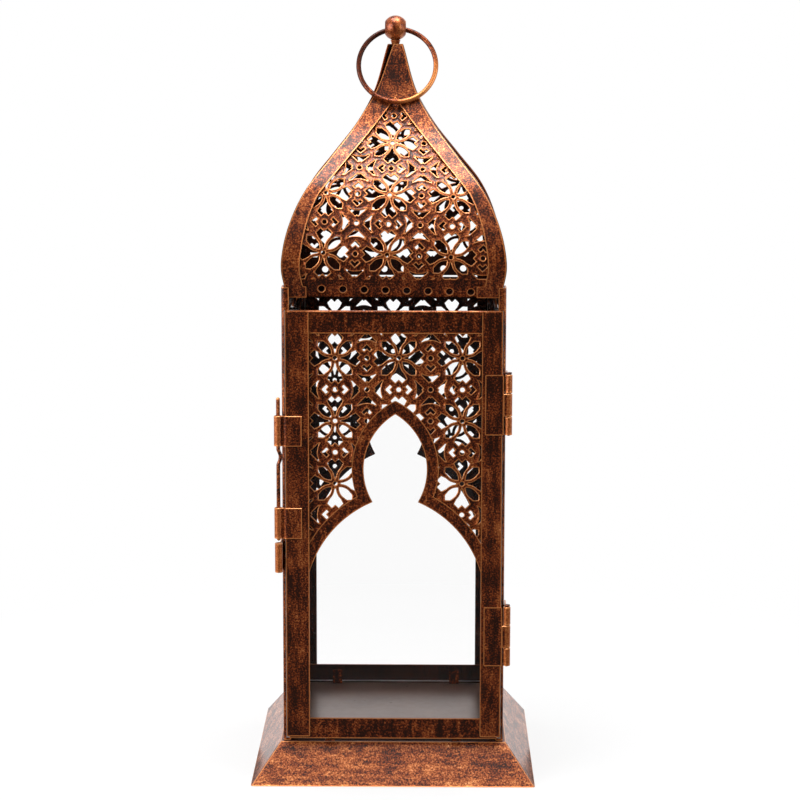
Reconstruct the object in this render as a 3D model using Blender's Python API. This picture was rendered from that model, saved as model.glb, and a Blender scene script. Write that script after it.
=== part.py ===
"""Moroccan lantern of pierced copper sheet and glass, with a hinged door and a carry ring.

Lengths are in metres, +Z is up, and the door faces -Y. The origin is on the ground,
in the middle of the base. Walls are counted from the door round to the right:
front, right, back, left.
"""

import math

import bmesh
import bpy
import numpy as np
from mathutils import Matrix, Vector
from mathutils.geometry import delaunay_2d_cdt

# Clearances between pieces that touch, and between pieces that slide
SEAT_GAP = 0.0003
DOOR_GAP = 0.0006

# Base skirt and floor
BASE_FLARE = 0.0114
BASE_LIP = 0.0010
BASE_HEIGHT = 0.0150
BASE_WALL = 0.0008
BASE_HEM = 0.0040
BASE_LEDGE = 0.0060
FLOOR_THICKNESS = 0.0006

# Body: corner posts, rails and the layers of a wall
BODY_HALF = 0.0436
POST_WALL = 0.0008
POST_FLANGE = 0.0096
POST_FRONT_FLANGE = 0.0030
POST_ABOVE_DOME_FOOT = 0.0042
RAIL_THICKNESS = 0.0007
PIERCED_THICKNESS = 0.0005
GLASS_THICKNESS = 0.0016
WALL_BOTTOM_RAIL = 0.0084
WALL_TOP_RAIL = 0.0092
RAIL_INSET = 0.0021
PANE_INSET = 0.0051
PANEL_RISE = 0.0033

# Glass clips
CLIP_WIDTH = 0.0040
CLIP_HEIGHT = 0.0060
CLIP_THICKNESS = 0.0005
CLIP_OFFSET = 0.0250

# Door
DOOR_LEFT_MARGIN = 0.0016
DOOR_RIGHT_MARGIN = 0.0014
DOOR_ABOVE_BASE = 0.0022
DOOR_BELOW_DOME = 0.0043
LEFT_STILE = 0.0092
RIGHT_STILE = 0.0080
DOOR_TOP_RAIL = 0.0089
DOOR_BOTTOM_RAIL = 0.0083
RAIL_HEM_SHOWS = 0.0010
PANE_PROUD = 0.0003

# Arch: two arcs a side, which meet in a cusp; every centre is taken from the arch's own middle
ARCH_ABOVE_DOOR = 0.1081
ARCH_RADIUS = 0.0255
ARCH_CENTRE_X = -0.0132
LOBE_RADIUS = 0.0437
LOBE_CENTRE_X = -0.0085
LOBE_DROP = 0.0530
ARCH_STRIP = 0.00465
ARCH_LAP = 0.0010
SHEET_LAP = 0.0050
SHEET_TOP_LAP = 0.0035
HOLE_MARGIN = 0.0008

# Pierced pattern: flowers on a square lattice, with a medallion between two of them
PITCH = 0.0247
FLOWER_SHIFT_X = 0.0013
FLOWER_RISE = 0.0190
PETAL_START = 0.0026
PETAL_WIDEST = 0.0062
PETAL_END = 0.0084
PETAL_WIDTH = 0.0036
FAN_START = 0.0019
FAN_END = 0.0089
FAN_WIDTH = 0.0056
WING_IN = 0.0033
WING_OUT = 0.0060
WING_WIDTH = 0.0074

# Dome: four ogee faces; each shape point is (height, half width) as shares of the full rise and run
DOME_FOOT_Z = 0.1919
DOME_RISE = 0.0969
DOME_TUCK = 0.0022
SPIRE_HALF = 0.00305
OGEE = (
    (0.0, 1.0),
    (0.047, 1.029),
    (0.110, 1.058),
    (0.200, 1.040),
    (0.284, 0.986),
    (0.421, 0.825),
    (0.549, 0.574),
    (0.672, 0.334),
    (0.774, 0.181),
    (1.0, 0.0),
)
OGEE_STEPS = 240
DOME_SHEET = 0.0007
DOME_LAYER_GAP = 0.0005
MITRE_GAP = 0.00022
LEG_AT_FOOT = 0.0073
LEG_AT_TOP = 0.0058
LEG_NARROWS_FROM = 0.0200
LEG_NARROWS_TO = 0.0450
OPENING_APEX = 0.0860
APEX_SLOPE = 0.66
TAB_REACH = 0.0031
TAB_HEIGHT = 0.0045
DOME_STEP = 0.0085
DOME_SHEET_LAP = 0.0025
DOME_SHEET_ABOVE = 0.0020
DOME_FLOWER_X = -0.0022
DOME_FLOWER_RISE = 0.0174
DOME_PATTERN_FOOT = 0.0062
BAND_HOLES = 8
BAND_HOLE_PITCH = 0.00826
BAND_HOLE_RADIUS = 0.0010
BAND_HOLE_RISE = 0.0023

# Finial and carry ring
BALL_RADIUS = 0.0049
STEM_RADIUS = 0.0020
STEM_DEPTH = 0.0090
COLLAR_RADIUS = 0.0028
COLLAR_HEIGHT = 0.0008
RING_RADIUS = 0.0153
RING_WIRE = 0.0010
RING_SAG = 0.0005
RING_SWAY = 0.0008

# Hinges: a leaf on the body's side, a leaf on the stile, and a pin through three knuckles
HINGE_BOTTOMS = (0.0473, 0.1393)
HINGE_HEIGHT = 0.0236
HINGE_NAMES = ("lower", "upper")
END_KNUCKLE = 0.0071
KNUCKLE_RADIUS = 0.00145
KNUCKLE_BORE = 0.0008
PIN_RADIUS = 0.0005
PIN_HEAD_RADIUS = 0.0012
PIN_HEAD_HEIGHT = 0.0006
LEAF_THICKNESS = 0.0005
LEAF_FROM_AXIS = 0.0091
KNUCKLE_OUT = 0.0002
KNUCKLE_PROUD = 0.0001
BODY_LEAF_LENGTH = 0.0120

# Latch: a wire bolt in two guides on the door drops into a keeper on the body
GUIDE_RADIUS = 0.0017
GUIDE_BORE = 0.0011
GUIDE_PROUD = 0.00005
KEEPER_RADIUS = 0.00155
UPPER_GUIDE = (0.1346, 0.1465)
LOWER_GUIDE = (0.0980, 0.1102)
KEEPER = (0.0844, 0.0961)
GUIDE_LEAF = 0.0092
LATCH_FROM_BODY = 0.0012
KEEPER_LEAF_LENGTH = 0.0120
BOLT_RADIUS = 0.0008
BOLT_LIFT = 0.0166
BOLT_FOOT = 0.0803
BOLT_KINK_FOOT = 0.1105
BOLT_KINK = 0.0009
BOLT_KINK_HEIGHT = 0.0062
BOLT_TOP = 0.1372

# Facets
ARCH_STEPS = 5
LOBE_STEPS = 3
BAND_HOLE_SIDES = 4
TUBE_SIDES = 10
BORE_SIDES = 8
BALL_SIDES = 12
BALL_STEPS = 8
RING_STEPS = 28
WIRE_STEPS = 1
SHARPEST_SMOOTH = math.radians(35)
WELD = 1e-8
SETTLING = 12

# Places that follow from the sizes above
BASE_TOP_HALF = BODY_HALF + BASE_LIP
BASE_HALF = BASE_TOP_HALF + BASE_FLARE
FLOOR_Z = BASE_HEIGHT + SEAT_GAP
POST_FOOT_Z = BASE_HEIGHT + SEAT_GAP
POST_TOP_Z = DOME_FOOT_Z + POST_ABOVE_DOME_FOOT
WALL_TOP_Z = DOME_FOOT_Z - DOOR_GAP
RAIL_DEPTH = POST_WALL + SEAT_GAP
SHEET_DEPTH = RAIL_DEPTH + RAIL_THICKNESS + SEAT_GAP
PANE_DEPTH = SHEET_DEPTH + PIERCED_THICKNESS + SEAT_GAP
CLIP_DEPTH = PANE_DEPTH + GLASS_THICKNESS + SEAT_GAP
FLOOR_HALF = BODY_HALF - SHEET_DEPTH - SEAT_GAP
DOOR_LEFT = DOOR_LEFT_MARGIN - BODY_HALF
DOOR_RIGHT = BODY_HALF - DOOR_RIGHT_MARGIN
DOOR_BOTTOM = BASE_HEIGHT + DOOR_ABOVE_BASE
DOOR_TOP = DOME_FOOT_Z - DOOR_BELOW_DOME
ARCH_Z = DOOR_BOTTOM + ARCH_ABOVE_DOOR
DOME_FOOT_HALF = BODY_HALF - DOME_TUCK
DOOR_PANE_DEPTH = -DOOR_GAP - GLASS_THICKNESS
DOOR_SHEET_DEPTH = DOOR_PANE_DEPTH - SEAT_GAP - PIERCED_THICKNESS
DOOR_RAIL_DEPTH = DOOR_SHEET_DEPTH - SEAT_GAP - RAIL_THICKNESS
DOOR_STILE_DEPTH = DOOR_RAIL_DEPTH - SEAT_GAP - RAIL_THICKNESS
DOOR_LEAF_DEPTH = DOOR_STILE_DEPTH - SEAT_GAP - LEAF_THICKNESS
LEAF_FRONT_Y = DOOR_LEAF_DEPTH - BODY_HALF
BODY_LEAF_X = BODY_HALF + SEAT_GAP
HINGE_X = BODY_LEAF_X + LEAF_THICKNESS + KNUCKLE_OUT
HINGE_Y = LEAF_FRONT_Y + KNUCKLE_RADIUS - KNUCKLE_PROUD
LATCH_X = -BODY_HALF - LATCH_FROM_BODY
GUIDE_LEAF_TO = LATCH_X + GUIDE_LEAF
LATCH_Y = LEAF_FRONT_Y + GUIDE_RADIUS - GUIDE_PROUD
DOOR_MIDDLE = (DOOR_LEFT + LEFT_STILE + DOOR_RIGHT - RIGHT_STILE) / 2
DOOR_WINDOW_HALF = (DOOR_RIGHT - RIGHT_STILE - DOOR_LEFT - LEFT_STILE) / 2
WALL_WINDOW_HALF = BODY_HALF - POST_FLANGE
SPIRE_TOP_Z = DOME_FOOT_Z + DOME_RISE
BALL_Z = SPIRE_TOP_Z + 2 * SEAT_GAP + COLLAR_HEIGHT + BALL_RADIUS
RING_PIVOT = Vector((0.0, 0.0, BALL_Z - RING_SAG))
RIGHT, BACK, LEFT = 1, 2, 3
WALLS = {"right": RIGHT, "back": BACK, "left": LEFT}


def clear_scene():
    for old in list(bpy.data.objects):
        bpy.data.objects.remove(old, do_unlink=True)


def finish_of(name, colour, roughness, metallic, transmission=0.0):
    """A Principled material with one colour."""
    material = bpy.data.materials.new(name)
    material.use_nodes = True
    shader = material.node_tree.nodes["Principled BSDF"]
    shader.inputs["Base Color"].default_value = (*colour, 1.0)
    shader.inputs["Roughness"].default_value = roughness
    shader.inputs["Metallic"].default_value = metallic
    shader.inputs["Transmission Weight"].default_value = transmission
    return material


def object_of(name, shape, finish, smooth=False):
    """An object made from a bmesh, with its faces turned outwards."""
    bmesh.ops.recalc_face_normals(shape, faces=shape.faces)
    mesh = bpy.data.meshes.new(name)
    shape.to_mesh(mesh)
    shape.free()
    if smooth:
        mesh.shade_smooth()
        mesh.set_sharp_from_angle(angle=SHARPEST_SMOOTH)
    mesh.materials.append(finish)
    piece = bpy.data.objects.new(name, mesh)
    bpy.context.collection.objects.link(piece)
    return piece


def on_front(u, v, depth):
    """A point of the front wall: u to the right, v up, depth inwards from the posts' face."""
    return Vector((u, depth - BODY_HALF, v))


def upright(x, y, z):
    return Vector((x, y, z))


def inside(point, loop):
    """True if the point lies inside the closed loop."""
    x, y = point
    crossings = 0
    for (ax, ay), (bx, by) in zip(loop, loop[1:] + loop[:1]):
        if (ay > y) != (by > y) and x < ax + (y - ay) * (bx - ax) / (by - ay):
            crossings += 1
    return crossings % 2 == 1


def flat_triangles(outline, holes, seams=()):
    """Points and triangles of a flat sheet with holes; a seam joins two points of the outline."""
    points = []
    edges = list(seams)
    for loop in [outline, *holes]:
        start = len(points)
        points += [Vector(point) for point in loop]
        edges += [(start + i, start + (i + 1) % len(loop)) for i in range(len(loop))]
    points, _, triangles, *_ = delaunay_2d_cdt(points, edges, [], 0, WELD, False)
    bounds = [(min(x for x, _ in h), max(x for x, _ in h), h) for h in holes]
    kept = []
    for triangle in triangles:
        middle = sum((points[i] for i in triangle), Vector((0.0, 0.0))) / 3
        if not inside(middle, outline):
            continue
        if any(low < middle.x < high and inside(middle, h) for low, high, h in bounds):
            continue
        kept.append(tuple(triangle))
    return points, kept


def sheet(outline, holes, place, near, far, seams=()):
    """A bmesh of a sheet between two depths; place(u, v, depth) puts each point in space."""
    points, triangles = flat_triangles(outline, holes, seams)
    used = sorted({i for triangle in triangles for i in triangle})
    shape = bmesh.new()
    front = {i: shape.verts.new(place(*points[i], near)) for i in used}
    rear = {i: shape.verts.new(place(*points[i], far)) for i in used}
    ways = set()
    for a, b, c in triangles:
        shape.faces.new((front[a], front[b], front[c]))
        shape.faces.new((rear[c], rear[b], rear[a]))
        ways |= {(a, b), (b, c), (c, a)}
    for a, b in sorted(ways):
        if (b, a) not in ways:
            shape.faces.new((front[b], front[a], rear[a], rear[b]))
    return shape


def rectangle(left, right, low, high):
    return [(left, low), (right, low), (right, high), (left, high)]


def ring_of_points(radius, sides, centre=(0.0, 0.0), first=0.0):
    """Points evenly spaced round a circle."""
    turns = [first + 2 * math.pi * i / sides for i in range(sides)]
    return [(centre[0] + radius * math.cos(t), centre[1] + radius * math.sin(t)) for t in turns]


def turned(profile, sides, axis, closed=False):
    """A bmesh of a profile of (radius, distance) points turned about the axis X or Z."""
    shape = bmesh.new()
    rings = []
    for radius, along in profile:
        count = sides if radius > 0 else 1
        ring = []
        for a, b in ring_of_points(radius, count):
            ring.append(shape.verts.new((along, a, b) if axis == "X" else (a, b, along)))
        rings.append(ring)
    pairs = list(zip(rings, rings[1:]))
    if closed:
        pairs.append((rings[-1], rings[0]))
    for lower, upper in pairs:
        for i in range(sides):
            j = (i + 1) % sides
            corners = [lower[i % len(lower)], lower[j % len(lower)]]
            corners += [upper[j % len(upper)], upper[i % len(upper)]]
            shape.faces.new(list(dict.fromkeys(corners)))
    return shape


def joined(piece, tool):
    """Fuses a tool into a piece with a Boolean union, and takes the tool away."""
    union = piece.modifiers.new("join_" + tool.name, "BOOLEAN")
    union.operation = "UNION"
    union.solver = "EXACT"
    union.object = tool
    tool.hide_render = True
    tool.display_type = "WIRE"


def circle_meet(first, first_radius, second, second_radius):
    """The crossing of two circles that lies on the right."""
    gap = second - first
    along = (gap.length_squared + first_radius**2 - second_radius**2) / (2 * gap.length)
    across = math.sqrt(first_radius**2 - along**2)
    way = gap.normalized()
    return max(
        (first + way * along + Vector((-way.y, way.x)) * side for side in (across, -across)),
        key=lambda point: point.x,
    )


def arc_points(centre, radius, start, end, steps):
    """Points along an arc from start to end, both ends included."""
    turn_a = math.atan2(start.y - centre.y, start.x - centre.x)
    turn_b = math.atan2(end.y - centre.y, end.x - centre.x)
    turns = [turn_a + (turn_b - turn_a) * i / steps for i in range(steps + 1)]
    return [centre + Vector((math.cos(t), math.sin(t))) * radius for t in turns]


def arch_curve(offset, half, arch_steps=ARCH_STEPS, lobe_steps=LOBE_STEPS):
    """The arch's edge from its left foot over the apex to its right foot, moved out by offset."""
    arch_centre = Vector((ARCH_CENTRE_X, 0.0))
    lobe_centre = Vector((LOBE_CENTRE_X, -LOBE_DROP))
    arch_radius = ARCH_RADIUS + offset
    lobe_radius = LOBE_RADIUS + offset
    apex = Vector((0.0, math.sqrt(arch_radius**2 - arch_centre.x**2)))
    cusp = circle_meet(arch_centre, arch_radius, lobe_centre, lobe_radius)
    reach = half - lobe_centre.x
    foot = Vector((half, lobe_centre.y + math.sqrt(max(lobe_radius**2 - reach**2, 0.0))))
    side = arc_points(arch_centre, arch_radius, apex, cusp, arch_steps)
    side += arc_points(lobe_centre, lobe_radius, cusp, foot, lobe_steps)[1:]
    right = [(point.x, point.y) for point in side]
    return [(-x, z) for x, z in reversed(right[1:])] + right


def moved(loop, x, z):
    return [(u + x, v + z) for u, v in loop]


def turned_loop(loop, turn, x, z):
    """A loop of (outwards, sideways) points, turned and put round the point x, z."""
    c, s = math.cos(turn), math.sin(turn)
    return [(x + out * c - side * s, z + out * s + side * c) for out, side in loop]


def filigree(x, z, columns, rows):
    """The openings of the pierced pattern, for flowers at x + column * PITCH, z + row * PITCH."""
    petal = [(PETAL_START, 0.0), (PETAL_WIDEST, -PETAL_WIDTH / 2), (PETAL_END, 0.0)]
    petal += [(PETAL_WIDEST, PETAL_WIDTH / 2)]
    fan = [(FAN_START, 0.0), (FAN_END, -FAN_WIDTH / 2), (FAN_END, FAN_WIDTH / 2)]
    wing = [(WING_IN, 0.0), (WING_OUT, -WING_WIDTH / 2), (WING_OUT, WING_WIDTH / 2)]
    quarter = math.pi / 2
    holes = []
    for column in columns:
        for row in rows:
            u = x + column * PITCH
            v = z + row * PITCH
            for turn in range(4):
                holes.append(turned_loop(petal, turn * quarter + quarter / 2, u, v))
                holes.append(turned_loop(fan, turn * quarter, u, v))
                holes.append(turned_loop(wing, turn * quarter, u + PITCH / 2, v + PITCH / 2))
    return holes


def fitting(holes, rim, window):
    """The holes that lie wholly inside the rim and at least half in the window that shows them."""
    kept = []
    for hole in holes:
        ends = zip(hole, hole[1:] + hole[:1])
        middles = [((ax + bx) / 2, (ay + by) / 2) for (ax, ay), (bx, by) in ends]
        centre = (sum(x for x, _ in hole) / len(hole), sum(y for _, y in hole) / len(hole))
        if inside(centre, window) and all(inside(point, rim) for point in hole + middles):
            kept.append(hole)
    return kept


def arch_sheet(middle, window_half, window_top, arch_z, place, depth):
    """A pierced sheet whose lower edge is the arch, a little inside the arch strip."""

    def edge(inset):
        half = window_half + SHEET_LAP - inset
        top = window_top + SHEET_TOP_LAP - inset
        curve = arch_curve(ARCH_LAP + inset, window_half + ARCH_LAP)
        curve = moved(curve, middle, arch_z)
        foot = curve[0][1]
        return [
            (middle - half, foot),
            *curve,
            (middle + half, foot),
            (middle + half, top),
            (middle - half, top),
        ]

    x = middle + FLOWER_SHIFT_X
    shown = moved(arch_curve(ARCH_STRIP, window_half), middle, arch_z)
    shown += [(middle + window_half, window_top), (middle - window_half, window_top)]
    holes = filigree(x, arch_z + FLOWER_RISE, range(-2, 3), range(-3, 3))
    holes = fitting(holes, edge(HOLE_MARGIN), shown)
    return sheet(edge(0.0), holes, place, depth, depth + PIERCED_THICKNESS)


def arch_strip(middle, window_half, arch_z, place, depth):
    """The plain band round the arch."""
    half = window_half + ARCH_LAP
    band = arch_curve(ARCH_STRIP, half) + arch_curve(0.0, half)[::-1]
    return sheet(moved(band[::-1], middle, arch_z), [], place, depth, depth + RAIL_THICKNESS)


def glass_clip(u, foot_z, depth, rail_back):
    """A bent tab: a foot under the pane and a leg up behind it."""
    back = depth + CLIP_THICKNESS
    foot_top = foot_z + CLIP_THICKNESS
    top = foot_z + CLIP_HEIGHT
    bend = [(rail_back, foot_z), (back, foot_z), (back, top), (depth, top), (depth, foot_top)]
    bend.append((rail_back, foot_top))
    left = u - CLIP_WIDTH / 2

    def place(inwards, height, along):
        return on_front(left + along, height, inwards)

    return sheet(bend, [], place, 0.0, CLIP_WIDTH)


def make_base(copper):
    """The flared foot, with a hem turned in at the bottom and a ledge at the top."""
    lean = (BASE_HALF - BASE_TOP_HALF) / BASE_HEIGHT
    wall = BASE_WALL * math.hypot(1, lean)
    profile = [
        (BASE_HALF, 0.0),
        (BASE_TOP_HALF, BASE_HEIGHT),
        (BASE_TOP_HALF - BASE_LEDGE, BASE_HEIGHT),
        (BASE_TOP_HALF - BASE_LEDGE, BASE_HEIGHT - BASE_WALL),
        (BASE_TOP_HALF + lean * BASE_WALL - wall, BASE_HEIGHT - BASE_WALL),
        (BASE_HALF - lean * BASE_WALL - wall, BASE_WALL),
        (BASE_HALF - BASE_HEM, BASE_WALL),
        (BASE_HALF - BASE_HEM, 0.0),
    ]
    square = [(half * math.sqrt(2), z) for half, z in profile]
    shape = turned(square, 4, "Z", closed=True)
    bmesh.ops.rotate(shape, verts=shape.verts, matrix=Matrix.Rotation(math.pi / 4, 3, "Z"))
    object_of("base_skirt", shape, copper)
    plate = rectangle(-FLOOR_HALF, FLOOR_HALF, -FLOOR_HALF, FLOOR_HALF)
    shape = sheet(plate, [], upright, FLOOR_Z, FLOOR_Z + FLOOR_THICKNESS)
    object_of("floor_plate", shape, copper)


def make_posts(copper):
    for name, side_x, side_y in (
        ("front_left", -1, -1),
        ("front_right", 1, -1),
        ("back_left", -1, 1),
        ("back_right", 1, 1),
    ):
        face = POST_FRONT_FLANGE if side_y < 0 else POST_FLANGE
        angle = [
            (BODY_HALF, BODY_HALF),
            (BODY_HALF - face, BODY_HALF),
            (BODY_HALF - face, BODY_HALF - POST_WALL),
            (BODY_HALF - POST_WALL, BODY_HALF - POST_WALL),
            (BODY_HALF - POST_WALL, BODY_HALF - POST_FLANGE),
            (BODY_HALF, BODY_HALF - POST_FLANGE),
        ]
        outline = [(side_x * x, side_y * y) for x, y in angle]
        shape = sheet(outline, [], upright, POST_FOOT_Z, POST_TOP_Z)
        object_of(f"post_{name}", shape, copper)


def make_walls(copper, glass):
    """Rails, arch strip, pierced sheet, pane and clips of the three fixed walls."""
    rail_half = BODY_HALF - RAIL_INSET
    pane_half = BODY_HALF - PANE_INSET
    window_top = WALL_TOP_Z - WALL_TOP_RAIL
    arch_z = ARCH_Z + PANEL_RISE
    window_half = WALL_WINDOW_HALF
    floor_top = FLOOR_Z + FLOOR_THICKNESS
    clip_foot = floor_top + SEAT_GAP
    pane_foot = clip_foot + CLIP_THICKNESS + SEAT_GAP
    rail_back = RAIL_DEPTH + RAIL_THICKNESS + SEAT_GAP
    low = rectangle(-rail_half, rail_half, POST_FOOT_Z, POST_FOOT_Z + WALL_BOTTOM_RAIL)
    high = rectangle(-rail_half, rail_half, window_top, WALL_TOP_Z)
    pane = rectangle(-pane_half, pane_half, pane_foot, WALL_TOP_Z - SHEET_TOP_LAP)
    rail_to = RAIL_DEPTH + RAIL_THICKNESS
    strip = arch_strip(0.0, window_half, arch_z, on_front, RAIL_DEPTH)
    pierced = arch_sheet(0.0, window_half, window_top, arch_z, on_front, SHEET_DEPTH)
    kinds = {
        "bottom_rail": (sheet(low, [], on_front, RAIL_DEPTH, rail_to), copper),
        "top_rail": (sheet(high, [], on_front, RAIL_DEPTH, rail_to), copper),
        "arch_strip": (strip, copper),
        "filigree": (pierced, copper),
        "pane": (sheet(pane, [], on_front, PANE_DEPTH, PANE_DEPTH + GLASS_THICKNESS), glass),
        "clip_a": (glass_clip(-CLIP_OFFSET, clip_foot, CLIP_DEPTH, rail_back), copper),
        "clip_b": (glass_clip(CLIP_OFFSET, clip_foot, CLIP_DEPTH, rail_back), copper),
    }
    for kind, (shape, finish) in kinds.items():
        first = object_of(f"right_{kind}", shape, finish)
        first.rotation_euler.z = RIGHT * math.pi / 2
        for side in ("back", "left"):
            copy = bpy.data.objects.new(f"{side}_{kind}", first.data)
            copy.rotation_euler.z = WALLS[side] * math.pi / 2
            bpy.context.collection.objects.link(copy)


def ogee_table():
    """Arc length, half width, height and slope along the dome's outline, from foot to spire."""
    share, run = np.array(OGEE).T
    slopes = np.gradient(run, share)
    slopes[0] = (run[1] - run[0]) / (share[1] - share[0])
    slopes[-1] = (run[-1] - run[-2]) / (share[-1] - share[-2])
    at = np.linspace(0, 1, OGEE_STEPS)
    i = np.clip(np.searchsorted(share, at, side="right") - 1, 0, len(share) - 2)
    width = share[i + 1] - share[i]
    t = (at - share[i]) / width
    curve = run[i] * (2 * t**3 - 3 * t**2 + 1) + run[i + 1] * (3 * t**2 - 2 * t**3)
    curve += width * (slopes[i] * (t**3 - 2 * t**2 + t) + slopes[i + 1] * (t**3 - t**2))
    half = SPIRE_HALF + (DOME_FOOT_HALF - SPIRE_HALF) * curve
    height = DOME_FOOT_Z + DOME_RISE * at
    length = np.concatenate([[0.0], np.cumsum(np.hypot(np.diff(half), np.diff(height)))])
    return length, half, height, np.gradient(half, length), np.gradient(height, length)


OGEE_LENGTH, OGEE_HALF, OGEE_HEIGHT, OGEE_LEAN, OGEE_CLIMB = ogee_table()
DOME_LENGTH = float(OGEE_LENGTH[-1])


def dome_half(length):
    return float(np.interp(length, OGEE_LENGTH, OGEE_HALF))


def on_dome(u, length, depth):
    """A point of the dome's front face: u to the right, length up the face, depth inwards."""
    half = dome_half(length) - depth * np.interp(length, OGEE_LENGTH, OGEE_CLIMB)
    height = np.interp(length, OGEE_LENGTH, OGEE_HEIGHT)
    height += depth * np.interp(length, OGEE_LENGTH, OGEE_LEAN)
    limit = half - MITRE_GAP
    return Vector((min(max(u, -limit), limit), -half, height))


def opening_half(length):
    """Half the width of a dome frame's opening at this length up the face."""
    share = (length - LEG_NARROWS_FROM) / (LEG_NARROWS_TO - LEG_NARROWS_FROM)
    leg = LEG_AT_FOOT + (LEG_AT_TOP - LEG_AT_FOOT) * min(max(share, 0.0), 1.0)
    return min(dome_half(length) - leg, (OPENING_APEX - length) * APEX_SLOPE)


def dome_frame():
    """A curved sheet with two legs that meet in a plain spire, and a tab at each foot."""
    steps = math.ceil((OPENING_APEX - TAB_HEIGHT) / DOME_STEP)
    levels = [TAB_HEIGHT + (OPENING_APEX - TAB_HEIGHT) * i / steps for i in range(steps)]
    spire = [OPENING_APEX, (OPENING_APEX + DOME_LENGTH) / 2, DOME_LENGTH]
    outer = [(dome_half(s) - MITRE_GAP, s) for s in [0.0, *levels, *spire]]
    tab = opening_half(TAB_HEIGHT) - TAB_REACH
    inner = [(tab, 0.0), (tab, TAB_HEIGHT)] + [(opening_half(s), s) for s in levels]
    apex = [(0.0, OPENING_APEX)]
    mirror_outer = [(-u, s) for u, s in reversed(outer)]
    mirror_inner = [(-u, s) for u, s in inner]
    outline = outer + mirror_outer + mirror_inner + apex + inner[::-1]
    place_of = {point: i for i, point in enumerate(outline)}
    seams = []
    for i, (u, s) in enumerate(inner[2:]):
        seams.append((place_of[(u, s)], place_of[outer[i + 1]]))
        seams.append((place_of[(-u, s)], place_of[(-outer[i + 1][0], s)]))
    for side in (outer[-3], (-outer[-3][0], outer[-3][1])):
        seams.append((place_of[apex[0]], place_of[side]))
    return sheet(outline, [], on_dome, 0.0, DOME_SHEET, seams)


def dome_sheet():
    """The pierced sheet behind a dome frame, with a plain band of round holes at its foot."""
    depth = DOME_SHEET + DOME_LAYER_GAP
    top = OPENING_APEX + DOME_SHEET_ABOVE
    steps = math.ceil(top / DOME_STEP)

    def edge(inset):
        levels = [top * i / steps for i in range(steps)]
        side = []
        for s in levels:
            half = max(opening_half(max(s, TAB_HEIGHT)), 0.0) + DOME_SHEET_LAP - inset
            side.append((half, s))
        side.append((DOME_SHEET_LAP - inset, top - inset))
        return side + [(-u, s) for u, s in reversed(side)]

    rim = [(u, max(s, DOME_PATTERN_FOOT)) for u, s in edge(HOLE_MARGIN)]
    holes = filigree(DOME_FLOWER_X, DOME_FLOWER_RISE, range(-2, 3), range(-1, 4))
    holes = fitting(holes, rim, edge(DOME_SHEET_LAP))
    first = -BAND_HOLE_PITCH * (BAND_HOLES - 1) / 2
    for i in range(BAND_HOLES):
        centre = (first + i * BAND_HOLE_PITCH, BAND_HOLE_RISE)
        holes.append(ring_of_points(BAND_HOLE_RADIUS, BAND_HOLE_SIDES, centre))
    return sheet(edge(0.0), holes, on_dome, depth, depth + PIERCED_THICKNESS)


def make_dome(copper):
    for kind, shape in (("frame", dome_frame()), ("filigree", dome_sheet())):
        first = object_of(f"dome_front_{kind}", shape, copper, smooth=True)
        for side, wall in WALLS.items():
            copy = bpy.data.objects.new(f"dome_{side}_{kind}", first.data)
            copy.rotation_euler.z = wall * math.pi / 2
            bpy.context.collection.objects.link(copy)


def ring_depth(x):
    """How far the carry ring's wire lies under its pivot at x, for the worse of its two sides."""
    drop = math.sqrt(RING_RADIUS**2 - RING_SWAY**2)
    return drop - math.sqrt(RING_RADIUS**2 - (abs(x) + RING_SWAY) ** 2)


def make_finial(copper, bright):
    """A collared stem in the spire, and a ball with a flared hole for the ring."""
    foot = SPIRE_TOP_Z - STEM_DEPTH
    collar = SPIRE_TOP_Z + SEAT_GAP
    profile = [(0.0, foot), (STEM_RADIUS, foot), (STEM_RADIUS, collar), (COLLAR_RADIUS, collar)]
    profile += [(COLLAR_RADIUS, collar + COLLAR_HEIGHT), (0.0, collar + COLLAR_HEIGHT)]
    object_of("finial_stem", turned(profile, TUBE_SIDES, "Z"), copper, smooth=True)
    bore = RING_SAG + RING_WIRE + SEAT_GAP
    mouth = BALL_RADIUS
    for _ in range(SETTLING):
        flare = bore + ring_depth(mouth)
        mouth = math.sqrt(BALL_RADIUS**2 - flare**2)
    turns = math.asin(mouth / BALL_RADIUS)
    sweep = [turns - 2 * turns * i / BALL_STEPS for i in range(BALL_STEPS + 1)]
    profile = [(BALL_RADIUS * math.cos(t), BALL_RADIUS * math.sin(t)) for t in sweep]
    for x in (-mouth / 2, 0.0, mouth / 2):
        profile.append((bore + ring_depth(x) * (x != 0.0), x))
    ball = object_of("finial_ball", turned(profile, BALL_SIDES, "X", closed=True), bright, smooth=True)
    ball.location.z = BALL_Z


def wire_object(name, points, radius, finish, cyclic=False):
    """A round wire along the points."""
    curve = bpy.data.curves.new(name, "CURVE")
    curve.dimensions = "3D"
    curve.bevel_depth = radius
    curve.bevel_resolution = WIRE_STEPS
    curve.use_fill_caps = True
    line = curve.splines.new("POLY")
    line.points.add(len(points) - 1)
    for place, point in zip(line.points, points):
        place.co = (*point, 1.0)
    line.use_cyclic_u = cyclic
    line.use_smooth = True
    curve.materials.append(finish)
    piece = bpy.data.objects.new(name, curve)
    bpy.context.collection.objects.link(piece)
    return piece


def ring_tilt():
    """How far the hanging ring leans forward to rest on the spire's front face."""
    tilt = 0.0
    for _ in range(SETTLING):
        lowest = RING_PIVOT.z - 2 * RING_RADIUS * math.cos(tilt)
        length = np.interp(lowest, OGEE_HEIGHT, OGEE_LENGTH)
        reach = dome_half(length) + (RING_WIRE + SEAT_GAP) / math.cos(tilt)
        tilt = math.atan2(reach, RING_PIVOT.z - lowest)
    return tilt


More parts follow.
